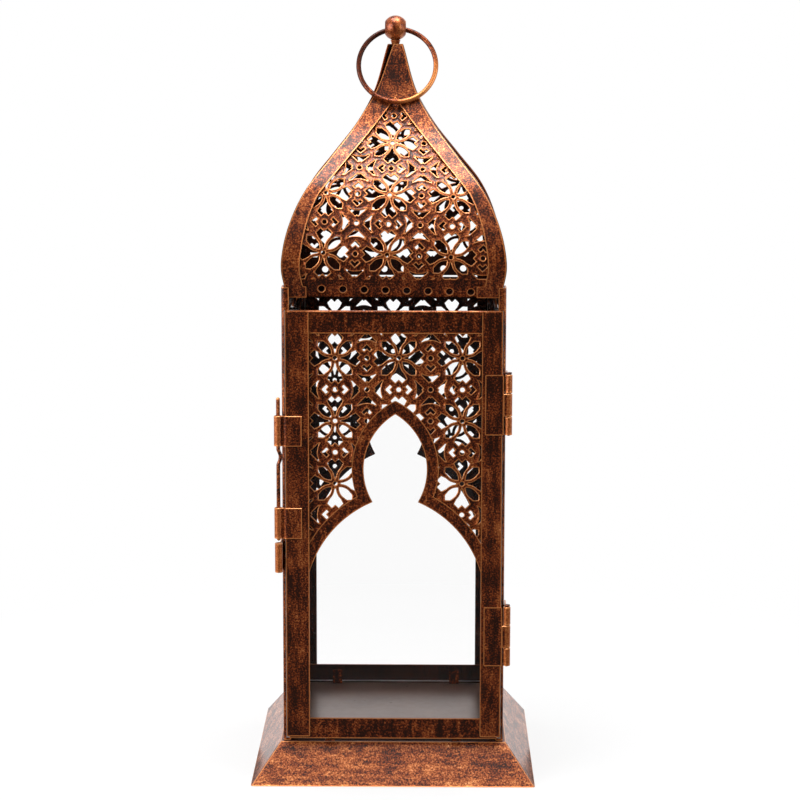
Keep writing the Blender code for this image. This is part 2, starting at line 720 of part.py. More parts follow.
def make_ring(bright):
    """The wire ring, threaded through the ball; its origin is on its pivot."""
    drop = math.sqrt(RING_RADIUS**2 - RING_SWAY**2)
    circle = ring_of_points(RING_RADIUS, RING_STEPS, (RING_SWAY, -drop))
    points = [(x, 0.0, z) for x, z in circle]
    ring = wire_object("carry_ring", points, RING_WIRE, bright, cyclic=True)
    ring.location = RING_PIVOT
    ring.rotation_euler.x = -ring_tilt()


def tube_object(name, centre, radius, bore, low, high, finish):
    outline = ring_of_points(radius, TUBE_SIDES, centre, math.pi / TUBE_SIDES)
    hole = ring_of_points(bore, BORE_SIDES, centre, math.pi / BORE_SIDES)
    return object_of(name, sheet(outline, [hole], upright, low, high), finish, smooth=True)


def make_hinge(name, bottom, copper, door):
    """Two leaves with interlocking knuckles, and a headed pin."""
    top = bottom + HINGE_HEIGHT
    low = bottom + END_KNUCKLE
    high = top - END_KNUCKLE
    axis = (HINGE_X, HINGE_Y)
    clear = KNUCKLE_RADIUS + SEAT_GAP
    root = (KNUCKLE_BORE + KNUCKLE_RADIUS) / 2

    ear = HINGE_Y + root
    back = HINGE_Y + BODY_LEAF_LENGTH
    notch = HINGE_Y + clear
    plate = [(ear, bottom), (back, bottom), (back, top), (ear, top), (ear, high + SEAT_GAP)]
    plate += [(notch, high + SEAT_GAP), (notch, low - SEAT_GAP), (ear, low - SEAT_GAP)]

    def on_side(y, z, x):
        return Vector((BODY_LEAF_X + x, y, z))

    body_leaf = object_of(
        f"hinge_{name}_body_leaf", sheet(plate, [], on_side, 0.0, LEAF_THICKNESS), copper
    )
    ends = ((bottom, low - SEAT_GAP), (high + SEAT_GAP, top))
    for end, (foot, head) in zip("ab", ends):
        tool = tube_object(
            f"{name}_knuckle_{end}", axis, KNUCKLE_RADIUS, KNUCKLE_BORE, foot, head, copper
        )
        joined(body_leaf, tool)

    edge = HINGE_X - LEAF_FROM_AXIS
    ear = HINGE_X - root / 2
    notch = HINGE_X - clear
    plate = [(edge, bottom), (notch, bottom), (notch, low), (ear, low), (ear, high), (notch, high)]
    plate += [(notch, top), (edge, top)]
    to = DOOR_LEAF_DEPTH + LEAF_THICKNESS
    door_leaf = object_of(
        f"hinge_{name}_door_leaf", sheet(plate, [], on_front, DOOR_LEAF_DEPTH, to), copper
    )
    tool = tube_object(f"{name}_knuckle_c", axis, KNUCKLE_RADIUS, KNUCKLE_BORE, low, high, copper)
    joined(door_leaf, tool)
    ride(door_leaf, door)
    ride(tool, door)

    head = top + SEAT_GAP
    profile = [(0.0, bottom - SEAT_GAP), (PIN_RADIUS, bottom - SEAT_GAP), (PIN_RADIUS, head)]
    profile += [(PIN_HEAD_RADIUS, head), (PIN_HEAD_RADIUS, head + PIN_HEAD_HEIGHT)]
    profile.append((0.0, head + PIN_HEAD_HEIGHT))
    pin = object_of(f"hinge_{name}_pin", turned(profile, BORE_SIDES, "Z"), copper, smooth=True)
    pin.location = (HINGE_X, HINGE_Y, 0.0)


def ride(piece, carrier):
    """Parents a piece to its carrier and leaves it where it is."""
    piece.parent = carrier
    piece.matrix_parent_inverse = Matrix.Translation(carrier.location).inverted()


def rolled_lug(name, centre, radius, leaf, low, high, finish):
    """A rolled tube with its leaf, both of one height."""
    tool = tube_object(name + "_roll", centre, radius, GUIDE_BORE, low, high, finish)
    piece = object_of(name, sheet(leaf, [], upright, low, high), finish)
    joined(piece, tool)
    return piece, tool


def make_latch(copper, door):
    """Two guides on the left stile, the keeper on the body's side, and the wire bolt, lifted."""
    centre = (LATCH_X, LATCH_Y)
    for name, (low, high) in (("upper", UPPER_GUIDE), ("lower", LOWER_GUIDE)):
        leaf = rectangle(
            LATCH_X + BOLT_RADIUS / 2, GUIDE_LEAF_TO, LEAF_FRONT_Y, LEAF_FRONT_Y + LEAF_THICKNESS
        )
        for piece in rolled_lug(f"latch_{name}_guide", centre, GUIDE_RADIUS, leaf, low, high, copper):
            ride(piece, door)
    near = -BODY_HALF - SEAT_GAP
    start = LATCH_Y + GUIDE_BORE
    leaf = rectangle(near - LEAF_THICKNESS, near, start, start + KEEPER_LEAF_LENGTH)
    rolled_lug("latch_keeper", centre, KEEPER_RADIUS, leaf, *KEEPER, copper)
    middle = BOLT_KINK_FOOT + BOLT_KINK_HEIGHT / 2
    kink_top = BOLT_KINK_FOOT + BOLT_KINK_HEIGHT
    heights = (BOLT_FOOT, BOLT_KINK_FOOT, middle, kink_top, BOLT_TOP)
    bends = (0.0, 0.0, BOLT_KINK, 0.0, 0.0)
    points = [(bend, 0.0, height) for bend, height in zip(bends, heights)]
    bolt = wire_object("latch_bolt", points, BOLT_RADIUS, copper)
    bolt.location = (LATCH_X, LATCH_Y, BOLT_LIFT)
    ride(bolt, door)


def make_door(copper, glass, door):
    """Stiles over rails, the pierced sheet, the arch strip, the pane and its clips."""
    left_edge = DOOR_LEFT + LEFT_STILE
    right_edge = DOOR_RIGHT - RIGHT_STILE
    stile_foot = DOOR_BOTTOM + RAIL_HEM_SHOWS
    stile_to = DOOR_STILE_DEPTH + RAIL_THICKNESS
    rail_to = DOOR_RAIL_DEPTH + RAIL_THICKNESS
    pane_to = DOOR_PANE_DEPTH + GLASS_THICKNESS
    rail_left = DOOR_LEFT + RAIL_HEM_SHOWS
    rail_right = DOOR_RIGHT - RAIL_HEM_SHOWS
    window_top = DOOR_TOP - DOOR_TOP_RAIL
    left = rectangle(DOOR_LEFT, left_edge, stile_foot, DOOR_TOP)
    right = rectangle(right_edge, DOOR_RIGHT, stile_foot, DOOR_TOP)
    top = rectangle(rail_left, rail_right, window_top, DOOR_TOP)
    bottom = rectangle(rail_left, rail_right, DOOR_BOTTOM, DOOR_BOTTOM + DOOR_BOTTOM_RAIL)
    pane_foot = DOOR_BOTTOM - PANE_PROUD
    pane_top = DOOR_TOP - PANE_PROUD
    pane = rectangle(DOOR_LEFT - PANE_PROUD, DOOR_RIGHT + PANE_PROUD, pane_foot, pane_top)
    clip_foot = pane_foot - SEAT_GAP - CLIP_THICKNESS
    clip_depth = pane_to + SEAT_GAP
    middle = DOOR_MIDDLE
    half = DOOR_WINDOW_HALF
    strip = arch_strip(middle, half, ARCH_Z, on_front, DOOR_RAIL_DEPTH)
    pierced = arch_sheet(middle, half, window_top, ARCH_Z, on_front, DOOR_SHEET_DEPTH)
    pieces = {
        "door_left_stile": (sheet(left, [], on_front, DOOR_STILE_DEPTH, stile_to), copper),
        "door_right_stile": (sheet(right, [], on_front, DOOR_STILE_DEPTH, stile_to), copper),
        "door_top_rail": (sheet(top, [], on_front, DOOR_RAIL_DEPTH, rail_to), copper),
        "door_bottom_rail": (sheet(bottom, [], on_front, DOOR_RAIL_DEPTH, rail_to), copper),
        "door_arch_strip": (strip, copper),
        "door_filigree": (pierced, copper),
        "door_pane": (sheet(pane, [], on_front, DOOR_PANE_DEPTH, pane_to), glass),
        "door_clip_a": (glass_clip(-CLIP_OFFSET, clip_foot, clip_depth, DOOR_RAIL_DEPTH), copper),
        "door_clip_b": (glass_clip(CLIP_OFFSET, clip_foot, clip_depth, DOOR_RAIL_DEPTH), copper),
    }
    for name, (shape, finish) in pieces.items():
        ride(object_of(name, shape, finish), door)


clear_scene()
aged_copper = finish_of("aged_copper", (0.23, 0.085, 0.040), 0.42, 0.9)
bright_copper = finish_of("bright_copper", (0.46, 0.20, 0.095), 0.30, 1.0)
clear_glass = finish_of("clear_glass", (0.96, 0.99, 0.98), 0.03, 0.0, transmission=1.0)

door_pivot = bpy.data.objects.new("door_pivot", None)
door_pivot.location = (HINGE_X, HINGE_Y, 0.0)
bpy.context.collection.objects.link(door_pivot)

make_base(aged_copper)
make_posts(aged_copper)
make_walls(aged_copper, clear_glass)
make_dome(aged_copper)
make_finial(aged_copper, bright_copper)
make_ring(bright_copper)
make_door(aged_copper, clear_glass, door_pivot)
for hinge_name, hinge_bottom in zip(HINGE_NAMES, HINGE_BOTTOMS):
    make_hinge(hinge_name, hinge_bottom, aged_copper, door_pivot)
make_latch(aged_copper, door_pivot)
bpy.context.view_layer.update()
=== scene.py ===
import math
from functools import partial

import bpy
import numpy as np
from mathutils import Matrix, Vector


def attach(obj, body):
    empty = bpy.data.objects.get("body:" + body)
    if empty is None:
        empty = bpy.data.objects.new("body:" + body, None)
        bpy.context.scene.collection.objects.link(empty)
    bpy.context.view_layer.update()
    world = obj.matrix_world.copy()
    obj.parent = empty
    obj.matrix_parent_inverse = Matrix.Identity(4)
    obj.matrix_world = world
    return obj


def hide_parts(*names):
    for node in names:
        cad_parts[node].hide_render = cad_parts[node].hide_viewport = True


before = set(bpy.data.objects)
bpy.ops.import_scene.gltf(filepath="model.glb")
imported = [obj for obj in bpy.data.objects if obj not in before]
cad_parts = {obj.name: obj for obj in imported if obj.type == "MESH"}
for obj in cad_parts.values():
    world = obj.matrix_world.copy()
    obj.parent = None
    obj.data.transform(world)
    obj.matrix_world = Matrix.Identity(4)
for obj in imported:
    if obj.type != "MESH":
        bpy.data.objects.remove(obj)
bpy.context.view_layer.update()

# View and light: a long lens a metre in front of the door, a little above the dome. A white
# room shows behind and around the lantern. A soft lamp hangs over it, so the sloping sheets
# shine and the upright ones stay dark, and two wide lamps stand well off at its sides.
EYE = (0.01228, -1.00654, 0.30202)
YAW = math.radians(-0.583)
DOWN = math.radians(8.845)
ROLL = math.radians(0.097)
ahead = Vector((math.sin(YAW) * math.cos(DOWN), math.cos(YAW) * math.cos(DOWN), -math.sin(DOWN)))
level = Vector((math.cos(YAW), -math.sin(YAW), 0.0))
raised = level.cross(ahead)
right_hand = math.cos(ROLL) * level + math.sin(ROLL) * raised
overhead = math.cos(ROLL) * raised - math.sin(ROLL) * level

camera = bpy.data.objects.new("photo_camera", bpy.data.cameras.new("photo_camera"))
camera.data.lens = 112.71
camera.data.sensor_width = 36.0
camera.data.clip_end = 20.0
camera.matrix_world = Matrix((right_hand, overhead, -ahead)).transposed().to_4x4()
camera.location = EYE
bpy.context.scene.collection.objects.link(camera)
bpy.context.scene.camera = camera
bpy.context.scene.view_settings.view_transform = "Standard"


def soft_lamp(name, place, aim, width, height, power):
    """A rectangular lamp at place that faces aim: its -Z axis is the line from place to aim."""
    lamp = bpy.data.lights.new(name, "AREA")
    lamp.shape = "RECTANGLE"
    lamp.size = width
    lamp.size_y = height
    lamp.energy = power
    holder = bpy.data.objects.new(name, lamp)
    holder.location = place
    holder.rotation_euler = (Vector(aim) - Vector(place)).to_track_quat("-Z", "Y").to_euler()
    bpy.context.scene.collection.objects.link(holder)


soft_lamp("lamp_over", (0.0, -0.04, 1.20), (0.0, 0.0, 0.20), 0.8, 0.66, 17.0)
soft_lamp("lamp_left", (-1.1, -0.75, 0.45), (0.0, 0.0, 0.12), 1.2, 1.2, 26.0)
soft_lamp("lamp_right", (1.2, -0.6, 0.45), (0.0, 0.0, 0.12), 0.9, 1.1, 8.0)


def step_of(tree, operation, first, second, clamp=False):
    """A Math node on two values; each is a number or another node's output."""
    node = tree.nodes.new("ShaderNodeMath")
    node.operation = operation
    node.use_clamp = clamp
    for socket, value in zip(node.inputs, (first, second)):
        if isinstance(value, (int, float)):
            socket.default_value = value
        else:
            tree.links.new(value, socket)
    return node.outputs[0]


def ranged(tree, value, low, high, at_low=0.0, at_high=1.0, rise="LINEAR"):
    """at_low where value is at low, at_high where it is at high, rising evenly or smoothly."""
    node = tree.nodes.new("ShaderNodeMapRange")
    node.interpolation_type = rise
    limits = {"From Min": low, "From Max": high, "To Min": at_low, "To Max": at_high}
    for title, limit in limits.items():
        node.inputs[title].default_value = limit
    tree.links.new(value, node.inputs["Value"])
    return node.outputs["Result"]


def coordinate(tree, vector, axis):
    """One axis of a vector output, by its letter."""
    node = tree.nodes.new("ShaderNodeSeparateXYZ")
    tree.links.new(vector, node.inputs[0])
    return node.outputs[axis]


def straight_look(tree):
    """1 on rays from the camera, straight or through panes alone, 0 on light that bounced."""
    ray = tree.nodes.new("ShaderNodeLightPath")
    bounces = step_of(tree, "ADD", ray.outputs["Diffuse Depth"], ray.outputs["Glossy Depth"])
    none = step_of(tree, "LESS_THAN", bounces, 0.5)
    through = step_of(tree, "MULTIPLY", none, ray.outputs["Is Transmission Ray"])
    return step_of(tree, "MAXIMUM", ray.outputs["Is Camera Ray"], through)


room = bpy.data.worlds.new("white_room")
room.use_nodes = True
bpy.context.scene.world = room
walls = room.node_tree
walls.nodes.clear()
toward = walls.nodes.new("ShaderNodeTexCoord").outputs["Generated"]
behind = ranged(walls, coordinate(walls, toward, "Y"), -0.5, 0.5, 0.04, 0.85)
above = ranged(walls, coordinate(walls, toward, "Z"), 0.15, 0.95)
around = step_of(walls, "MAXIMUM", behind, above)
paint = walls.nodes.new("ShaderNodeBackground")
paint.inputs["Color"].default_value = (1.0, 1.0, 1.0, 1.0)
white = step_of(walls, "MAXIMUM", straight_look(walls), around)
walls.links.new(white, paint.inputs["Strength"])
walls_out = walls.nodes.new("ShaderNodeOutputWorld")
walls.links.new(paint.outputs[0], walls_out.inputs["Surface"])

floor_mesh = bpy.data.meshes.new("studio_floor")
floor_mesh.from_pydata([(-6, -6, 0), (6, -6, 0), (6, 6, 0), (-6, 6, 0)], [], [(0, 1, 2, 3)])
studio_floor = bpy.data.objects.new("studio_floor", floor_mesh)
studio_floor.location.z = -0.0002
bpy.context.scene.collection.objects.link(studio_floor)
floor_paint = bpy.data.materials.new("studio_floor")
floor_paint.use_nodes = True
floor_mesh.materials.append(floor_paint)
tree = floor_paint.node_tree
tree.nodes.clear()
spot = tree.nodes.new("ShaderNodeTexCoord").outputs["Object"]
beyond = step_of(tree, "GREATER_THAN", coordinate(tree, spot, "Y"), 0.0)
once = step_of(tree, "MAXIMUM", straight_look(tree), beyond)
tone = step_of(tree, "ADD", step_of(tree, "MULTIPLY", once, 0.50), 0.07)
matt = tree.nodes.new("ShaderNodeBsdfDiffuse")
tree.links.new(tone, matt.inputs["Color"])
glow = tree.nodes.new("ShaderNodeEmission")
away = tree.nodes.new("ShaderNodeVectorMath")
away.operation = "LENGTH"
tree.links.new(spot, away.inputs[0])
fade = ranged(tree, away.outputs["Value"], 0.06, 0.30, 0.75)
blend = tree.nodes.new("ShaderNodeMixShader")
tree.links.new(step_of(tree, "MULTIPLY", fade, once), blend.inputs[0])
tree.links.new(matt.outputs[0], blend.inputs[1])
tree.links.new(glow.outputs[0], blend.inputs[2])
floor_out = tree.nodes.new("ShaderNodeOutputMaterial")
tree.links.new(blend.outputs[0], floor_out.inputs["Surface"])

# Base skirt: one sheet of steel folded into a flared square foot, soldered at its four
# corners, hemmed in at the bottom and turned in at the top as a ledge. It is copper plated,
# blackened, and then rubbed back, so the metal shines through in flecks and on every edge.
GAP = 0.0003
BODY_HALF = 0.0436
SKIRT_HALF = 0.0560
SKIRT_TOP_HALF = 0.0446
SKIRT_HEIGHT = 0.0150
SKIRT_WALL = 0.0008
SKIRT_HEM = 0.0040
SKIRT_LEDGE = 0.0060
SKIRT_BELLY = 0.00018
CORNER_EASE = 1.006
NEAR_EDGE = 0.0015


def node_group(name, inputs, colours, values):
    """An empty shader group: inputs are (name, value), and it puts out colours and values."""
    group = bpy.data.node_groups.new(name, "ShaderNodeTree")
    for title, value in inputs:
        socket = group.interface.new_socket(title, in_out="INPUT", socket_type="NodeSocketFloat")
        socket.default_value = value
    for title in (*colours, *values):
        kind = "NodeSocketColor" if title in colours else "NodeSocketFloat"
        group.interface.new_socket(title, in_out="OUTPUT", socket_type=kind)
    return group, group.nodes.new("NodeGroupInput"), group.nodes.new("NodeGroupOutput")


def clouds(tree, scale, detail, roughness, stretch=(1.0, 1.0, 1.0)):
    """Noise on Object coordinates, in cycles a metre; a low stretch draws it out on that axis."""
    where = tree.nodes.new("ShaderNodeTexCoord")
    drawn = tree.nodes.new("ShaderNodeMapping")
    drawn.inputs["Scale"].default_value = stretch
    noise = tree.nodes.new("ShaderNodeTexNoise")
    for title, value in (("Scale", scale), ("Detail", detail), ("Roughness", roughness)):
        noise.inputs[title].default_value = value
    tree.links.new(where.outputs["Object"], drawn.inputs["Vector"])
    tree.links.new(drawn.outputs["Vector"], noise.inputs["Vector"])
    return noise.outputs["Fac"]


# Rub is how far the blackening is rubbed off all over, and Speckle how finely; Level turns the
# strokes from upright to level. Bare lightens: it is 1 at an edge and 0 beyond NEAR_EDGE, and on
# the carry ring it grows towards the lower right. Inner darkens: it is 1 on the inside faces of the
# sheets, and on the carry ring it grows towards the upper left.
patina, given, made = node_group(
    "rubbed_copper",
    (("Rub", 0.5), ("Speckle", 0.4), ("Level", 0.0), ("Bare", 0.0), ("Inner", 0.0)),
    ("Colour",),
    ("Roughness", "Metallic", "Height"),
)
work = partial(step_of, patina)
flecks = work("SUBTRACT", clouds(patina, 1500.0, 3.0, 0.7), 0.5)
upright = clouds(patina, 520.0, 3.0, 0.6, (1.0, 1.0, 0.16))
sideways = clouds(patina, 520.0, 3.0, 0.6, (0.22, 0.22, 1.0))
turned = work("MULTIPLY", work("SUBTRACT", sideways, upright), given.outputs["Level"])
strokes = work("SUBTRACT", work("ADD", upright, turned), 0.5)
patches = work("SUBTRACT", clouds(patina, 110.0, 2.0, 0.5), 0.5)
mottle = work("MULTIPLY", flecks, given.outputs["Speckle"])
mottle = work("ADD", mottle, work("MULTIPLY", strokes, 0.26))
mottle = work("ADD", mottle, work("MULTIPLY", patches, 0.19))
rubbed = work("ADD", work("MULTIPLY", mottle, 4.0), given.outputs["Rub"], clamp=True)
ragged = work("ADD", given.outputs["Bare"], work("MULTIPLY", flecks, 0.40))
edge = ranged(patina, ragged, 0.58, 0.92, rise="SMOOTHSTEP")
worn = work("MAXIMUM", rubbed, work("MULTIPLY", edge, 0.82))
worn = work("MULTIPLY", worn, work("SUBTRACT", 1.0, work("MULTIPLY", given.outputs["Inner"], 0.85)))
colours = patina.nodes.new("ShaderNodeValToRGB")
ramp = colours.color_ramp
ramp.elements[0].color = (0.020, 0.0055, 0.0024, 1.0)
ramp.elements[1].color = (0.84, 0.46, 0.22, 1.0)
for position, colour in (
    (0.22, (0.108, 0.0190, 0.0045)),
    (0.34, (0.222, 0.0430, 0.0098)),
    (0.50, (0.340, 0.0910, 0.0235)),
    (0.80, (0.640, 0.2250, 0.0640)),
):
    ramp.elements.new(position).color = (*colour, 1.0)
patina.links.new(worn, colours.inputs["Fac"])
duller = work("SUBTRACT", 0.44, work("MULTIPLY", worn, 0.16))
metal = work("ADD", work("MULTIPLY", worn, 0.35), 0.45)
patina.links.new(colours.outputs["Color"], made.inputs["Colour"])
patina.links.new(duller, made.inputs["Roughness"])
patina.links.new(metal, made.inputs["Metallic"])
patina.links.new(work("ADD", mottle, edge), made.inputs["Height"])


def attribute_of(tree, name):
    """What the mesh stores at each point under this name; 0 on a mesh without it."""
    node = tree.nodes.new("ShaderNodeAttribute")
    node.attribute_name = name
    return node.outputs["Fac"]


def rubbed_copper(name, rub, bump=0.30, speckle=0.55, level=0.0, coat=0.5):
    """Principled metal whose colour, roughness, metallic and bump come from the patina group."""
    material = bpy.data.materials.new(name)
    material.use_nodes = True
    tree = material.node_tree
    shader = tree.nodes["Principled BSDF"]
    shader.inputs["Specular IOR Level"].default_value = 0.0
    shader.inputs["Coat Weight"].default_value = coat
    shader.inputs["Coat Roughness"].default_value = 0.24
    group = tree.nodes.new("ShaderNodeGroup")
    group.node_tree = patina
    for title, value in (("Rub", rub), ("Speckle", speckle), ("Level", level)):
        group.inputs[title].default_value = value
    for title in ("Bare", "Inner"):
        tree.links.new(attribute_of(tree, title.lower()), group.inputs[title])
    tree.links.new(group.outputs["Colour"], shader.inputs["Base Color"])
    for title in ("Roughness", "Metallic"):
        tree.links.new(group.outputs[title], shader.inputs[title])
    grain = tree.nodes.new("ShaderNodeBump")
    grain.inputs["Strength"].default_value = bump
    grain.inputs["Distance"].default_value = 0.0003
    tree.links.new(group.outputs["Height"], grain.inputs["Height"])
    tree.links.new(grain.outputs["Normal"], shader.inputs["Normal"])
    return material


def piece_of(name, points, faces, stored, material, body, nodes, sharp=35.0):
    """Puts the arrays into a mesh at the origin, with its stored values, and on its body."""
    mesh = bpy.data.meshes.new(name)
    mesh.vertices.add(len(points))
    mesh.vertices.foreach_set("co", np.asarray(points, np.float32).ravel())
    faces = np.asarray(faces, np.int32)
    mesh.loops.add(faces.size)
    mesh.loops.foreach_set("vertex_index", faces.ravel())
    mesh.polygons.add(len(faces))
    first_loops = np.arange(0, faces.size, faces.shape[1], dtype=np.int32)
    mesh.polygons.foreach_set("loop_start", first_loops)
    mesh.polygons.foreach_set("loop_total", np.full(len(faces), faces.shape[1], np.int32))
    mesh.update(calc_edges=True)
    for title, values in stored.items():
        kept = mesh.attributes.new(title, "FLOAT", "POINT")
        kept.data.foreach_set("value", np.asarray(values, np.float32).ravel())
    mesh.shade_smooth()
    mesh.set_sharp_from_angle(angle=math.radians(sharp))
    mesh.materials.append(material)
    piece = bpy.data.objects.new(name, mesh)
    bpy.context.scene.collection.objects.link(piece)
    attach(piece, body)
    if nodes:
        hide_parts(*nodes)


def grid_faces(rows, columns, closed=True):
    """Quads of a grid of points whose rows are rings; closed, its last row joins its first."""
    last = rows if closed else rows - 1
    i, j = np.meshgrid(np.arange(last), np.arange(columns), indexing="ij")
    here, beyond, after = i * columns, (i + 1) % rows * columns, (j + 1) % columns
    return np.stack([here + j, here + after, beyond + after, beyond + j], -1).reshape(-1, 4)


def nearness(distance):
    """1 on an edge, falling evenly to 0 at NEAR_EDGE from it."""
    return np.clip(1.0 - np.abs(distance) / NEAR_EDGE, 0.0, 1.0)


def along(corners, spacing):
    """Points about spacing apart along a closed outline, and how far each is from a corner."""
    starts = np.asarray(corners, float)
    runs = np.roll(starts, -1, 0) - starts
    lengths = np.linalg.norm(runs, axis=1)
    counts = np.maximum(np.ceil(lengths / spacing).astype(int), 1)
    leg = np.repeat(np.arange(len(starts)), counts)
    share = (np.arange(len(leg)) - np.repeat(np.cumsum(counts) - counts, counts)) / counts[leg]
    points = starts[leg] + share[:, None] * runs[leg]
    return points, np.minimum(share, 1.0 - share) * lengths[leg]


lean = (SKIRT_HALF - SKIRT_TOP_HALF) / SKIRT_HEIGHT
wall = SKIRT_WALL * math.hypot(1.0, lean)
section, from_fold = along(
    [
        (SKIRT_HALF, 0.0),
        (SKIRT_TOP_HALF, SKIRT_HEIGHT),
        (SKIRT_TOP_HALF - SKIRT_LEDGE, SKIRT_HEIGHT),
        (SKIRT_TOP_HALF - SKIRT_LEDGE, SKIRT_HEIGHT - SKIRT_WALL),
        (SKIRT_TOP_HALF + lean * SKIRT_WALL - wall, SKIRT_HEIGHT - SKIRT_WALL),
        (SKIRT_HALF - lean * SKIRT_WALL - wall, SKIRT_WALL),
        (SKIRT_HALF - SKIRT_HEM, SKIRT_WALL),
        (SKIRT_HALF - SKIRT_HEM, 0.0),
    ],
    0.0010,
)
ring, from_corner = along([(1, -1), (1, 1), (-1, 1), (-1, -1)], 0.02)
ring = np.where(from_corner[:, None] == 0.0, ring / CORNER_EASE, ring)
spread, height = section.T
skirt = np.empty((len(ring), len(section), 3))
skirt[..., :2] = ring[:, None, :] * spread[None, :, None]
skirt[..., 2] = height
belly = np.sin(np.clip(height / SKIRT_HEIGHT, 0, 1) * np.pi) * SKIRT_BELLY
skirt[..., :2] *= 1.0 - (belly / spread)[None, :, None] * (1.0 - np.abs(ring).min(1))[:, None, None]
rubbed_edge = np.maximum(nearness(from_fold), nearness(from_corner[:, None] * spread))
round_section = np.linspace(0, 1, len(section), endpoint=False)
hidden = (spread < SKIRT_TOP_HALF - 0.0002) | (round_section > 0.45)
skirt_copper = rubbed_copper("skirt_copper", 0.32, speckle=0.6, level=1.0, coat=0.8)
piece_of(
    "skirt",
    skirt.reshape(-1, 3),
    grid_faces(len(ring), len(section))[:, ::-1],
    {"bare": rubbed_edge, "inner": np.broadcast_to(hidden, rubbed_edge.shape)},
    skirt_copper,
    "lantern_body",
    ["base_skirt"],
)

# Floor plate: a square of the same steel laid on the skirt's ledge, where the candle stands.
# It carries a thin dark lacquer, smoother than the walls, and catches the white of the room.
plate_finish = bpy.data.materials.new("floor_lacquer")
plate_finish.use_nodes = True
tree = plate_finish.node_tree
shader = tree.nodes["Principled BSDF"]
shader.inputs["Metallic"].default_value = 0.55
shader.inputs["Coat Weight"].default_value = 0.6
shader.inputs["Coat Roughness"].default_value = 0.28
tone = tree.nodes.new("ShaderNodeValToRGB")
tone.color_ramp.elements[0].color = (0.075, 0.040, 0.030, 1.0)
tone.color_ramp.elements[1].color = (0.62, 0.50, 0.46, 1.0)
tone.color_ramp.elements.new(0.60).color = (0.230, 0.135, 0.105, 1.0)
cast = step_of(tree, "MULTIPLY", clouds(tree, 60.0, 4.0, 0.55), 0.6)
# Small pale flecks scattered over the plate.
pale_flecks = clouds(tree, 820.0, 2.0, 0.6, (0.6, 1.0, 1.0))
pale_flecks = step_of(tree, "MULTIPLY", ranged(tree, pale_flecks, 0.69, 0.78, rise="SMOOTHSTEP"), 0.5)
tree.links.new(step_of(tree, "ADD", cast, pale_flecks), tone.inputs["Fac"])
tree.links.new(tone.outputs["Color"], shader.inputs["Base Color"])
dull = step_of(tree, "MULTIPLY", clouds(tree, 300.0, 3.0, 0.6), 0.20)
tree.links.new(step_of(tree, "ADD", dull, 0.22), shader.inputs["Roughness"])


def finish(node, material):
    """Gives a solid that stays as it is this material alone."""
    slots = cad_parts[node].data.materials
    slots.clear()
    slots.append(material)


finish("floor_plate", plate_finish)

# Corner posts: long strips of sheet bent to an angle, soldered to the skirt below and to the
# dome above. The back pair are even; the front pair turn only a narrow flange beside the door.
POST_WALL = 0.0008
POST_FLANGE = 0.0096
POST_FRONT_FLANGE = 0.0030
POST_FOOT = SKIRT_HEIGHT + GAP
POST_TOP = 0.1961
FOLD = 0.0010


def slope_of(solid, u, v, reach):
    """How solid(u, v) rises along u and along v, from points reach apart."""
    rise_u = (solid(u + reach, v) - solid(u - reach, v)) / (2 * reach)
    rise_v = (solid(u, v + reach) - solid(u, v - reach)) / (2 * reach)
    return rise_u, rise_v


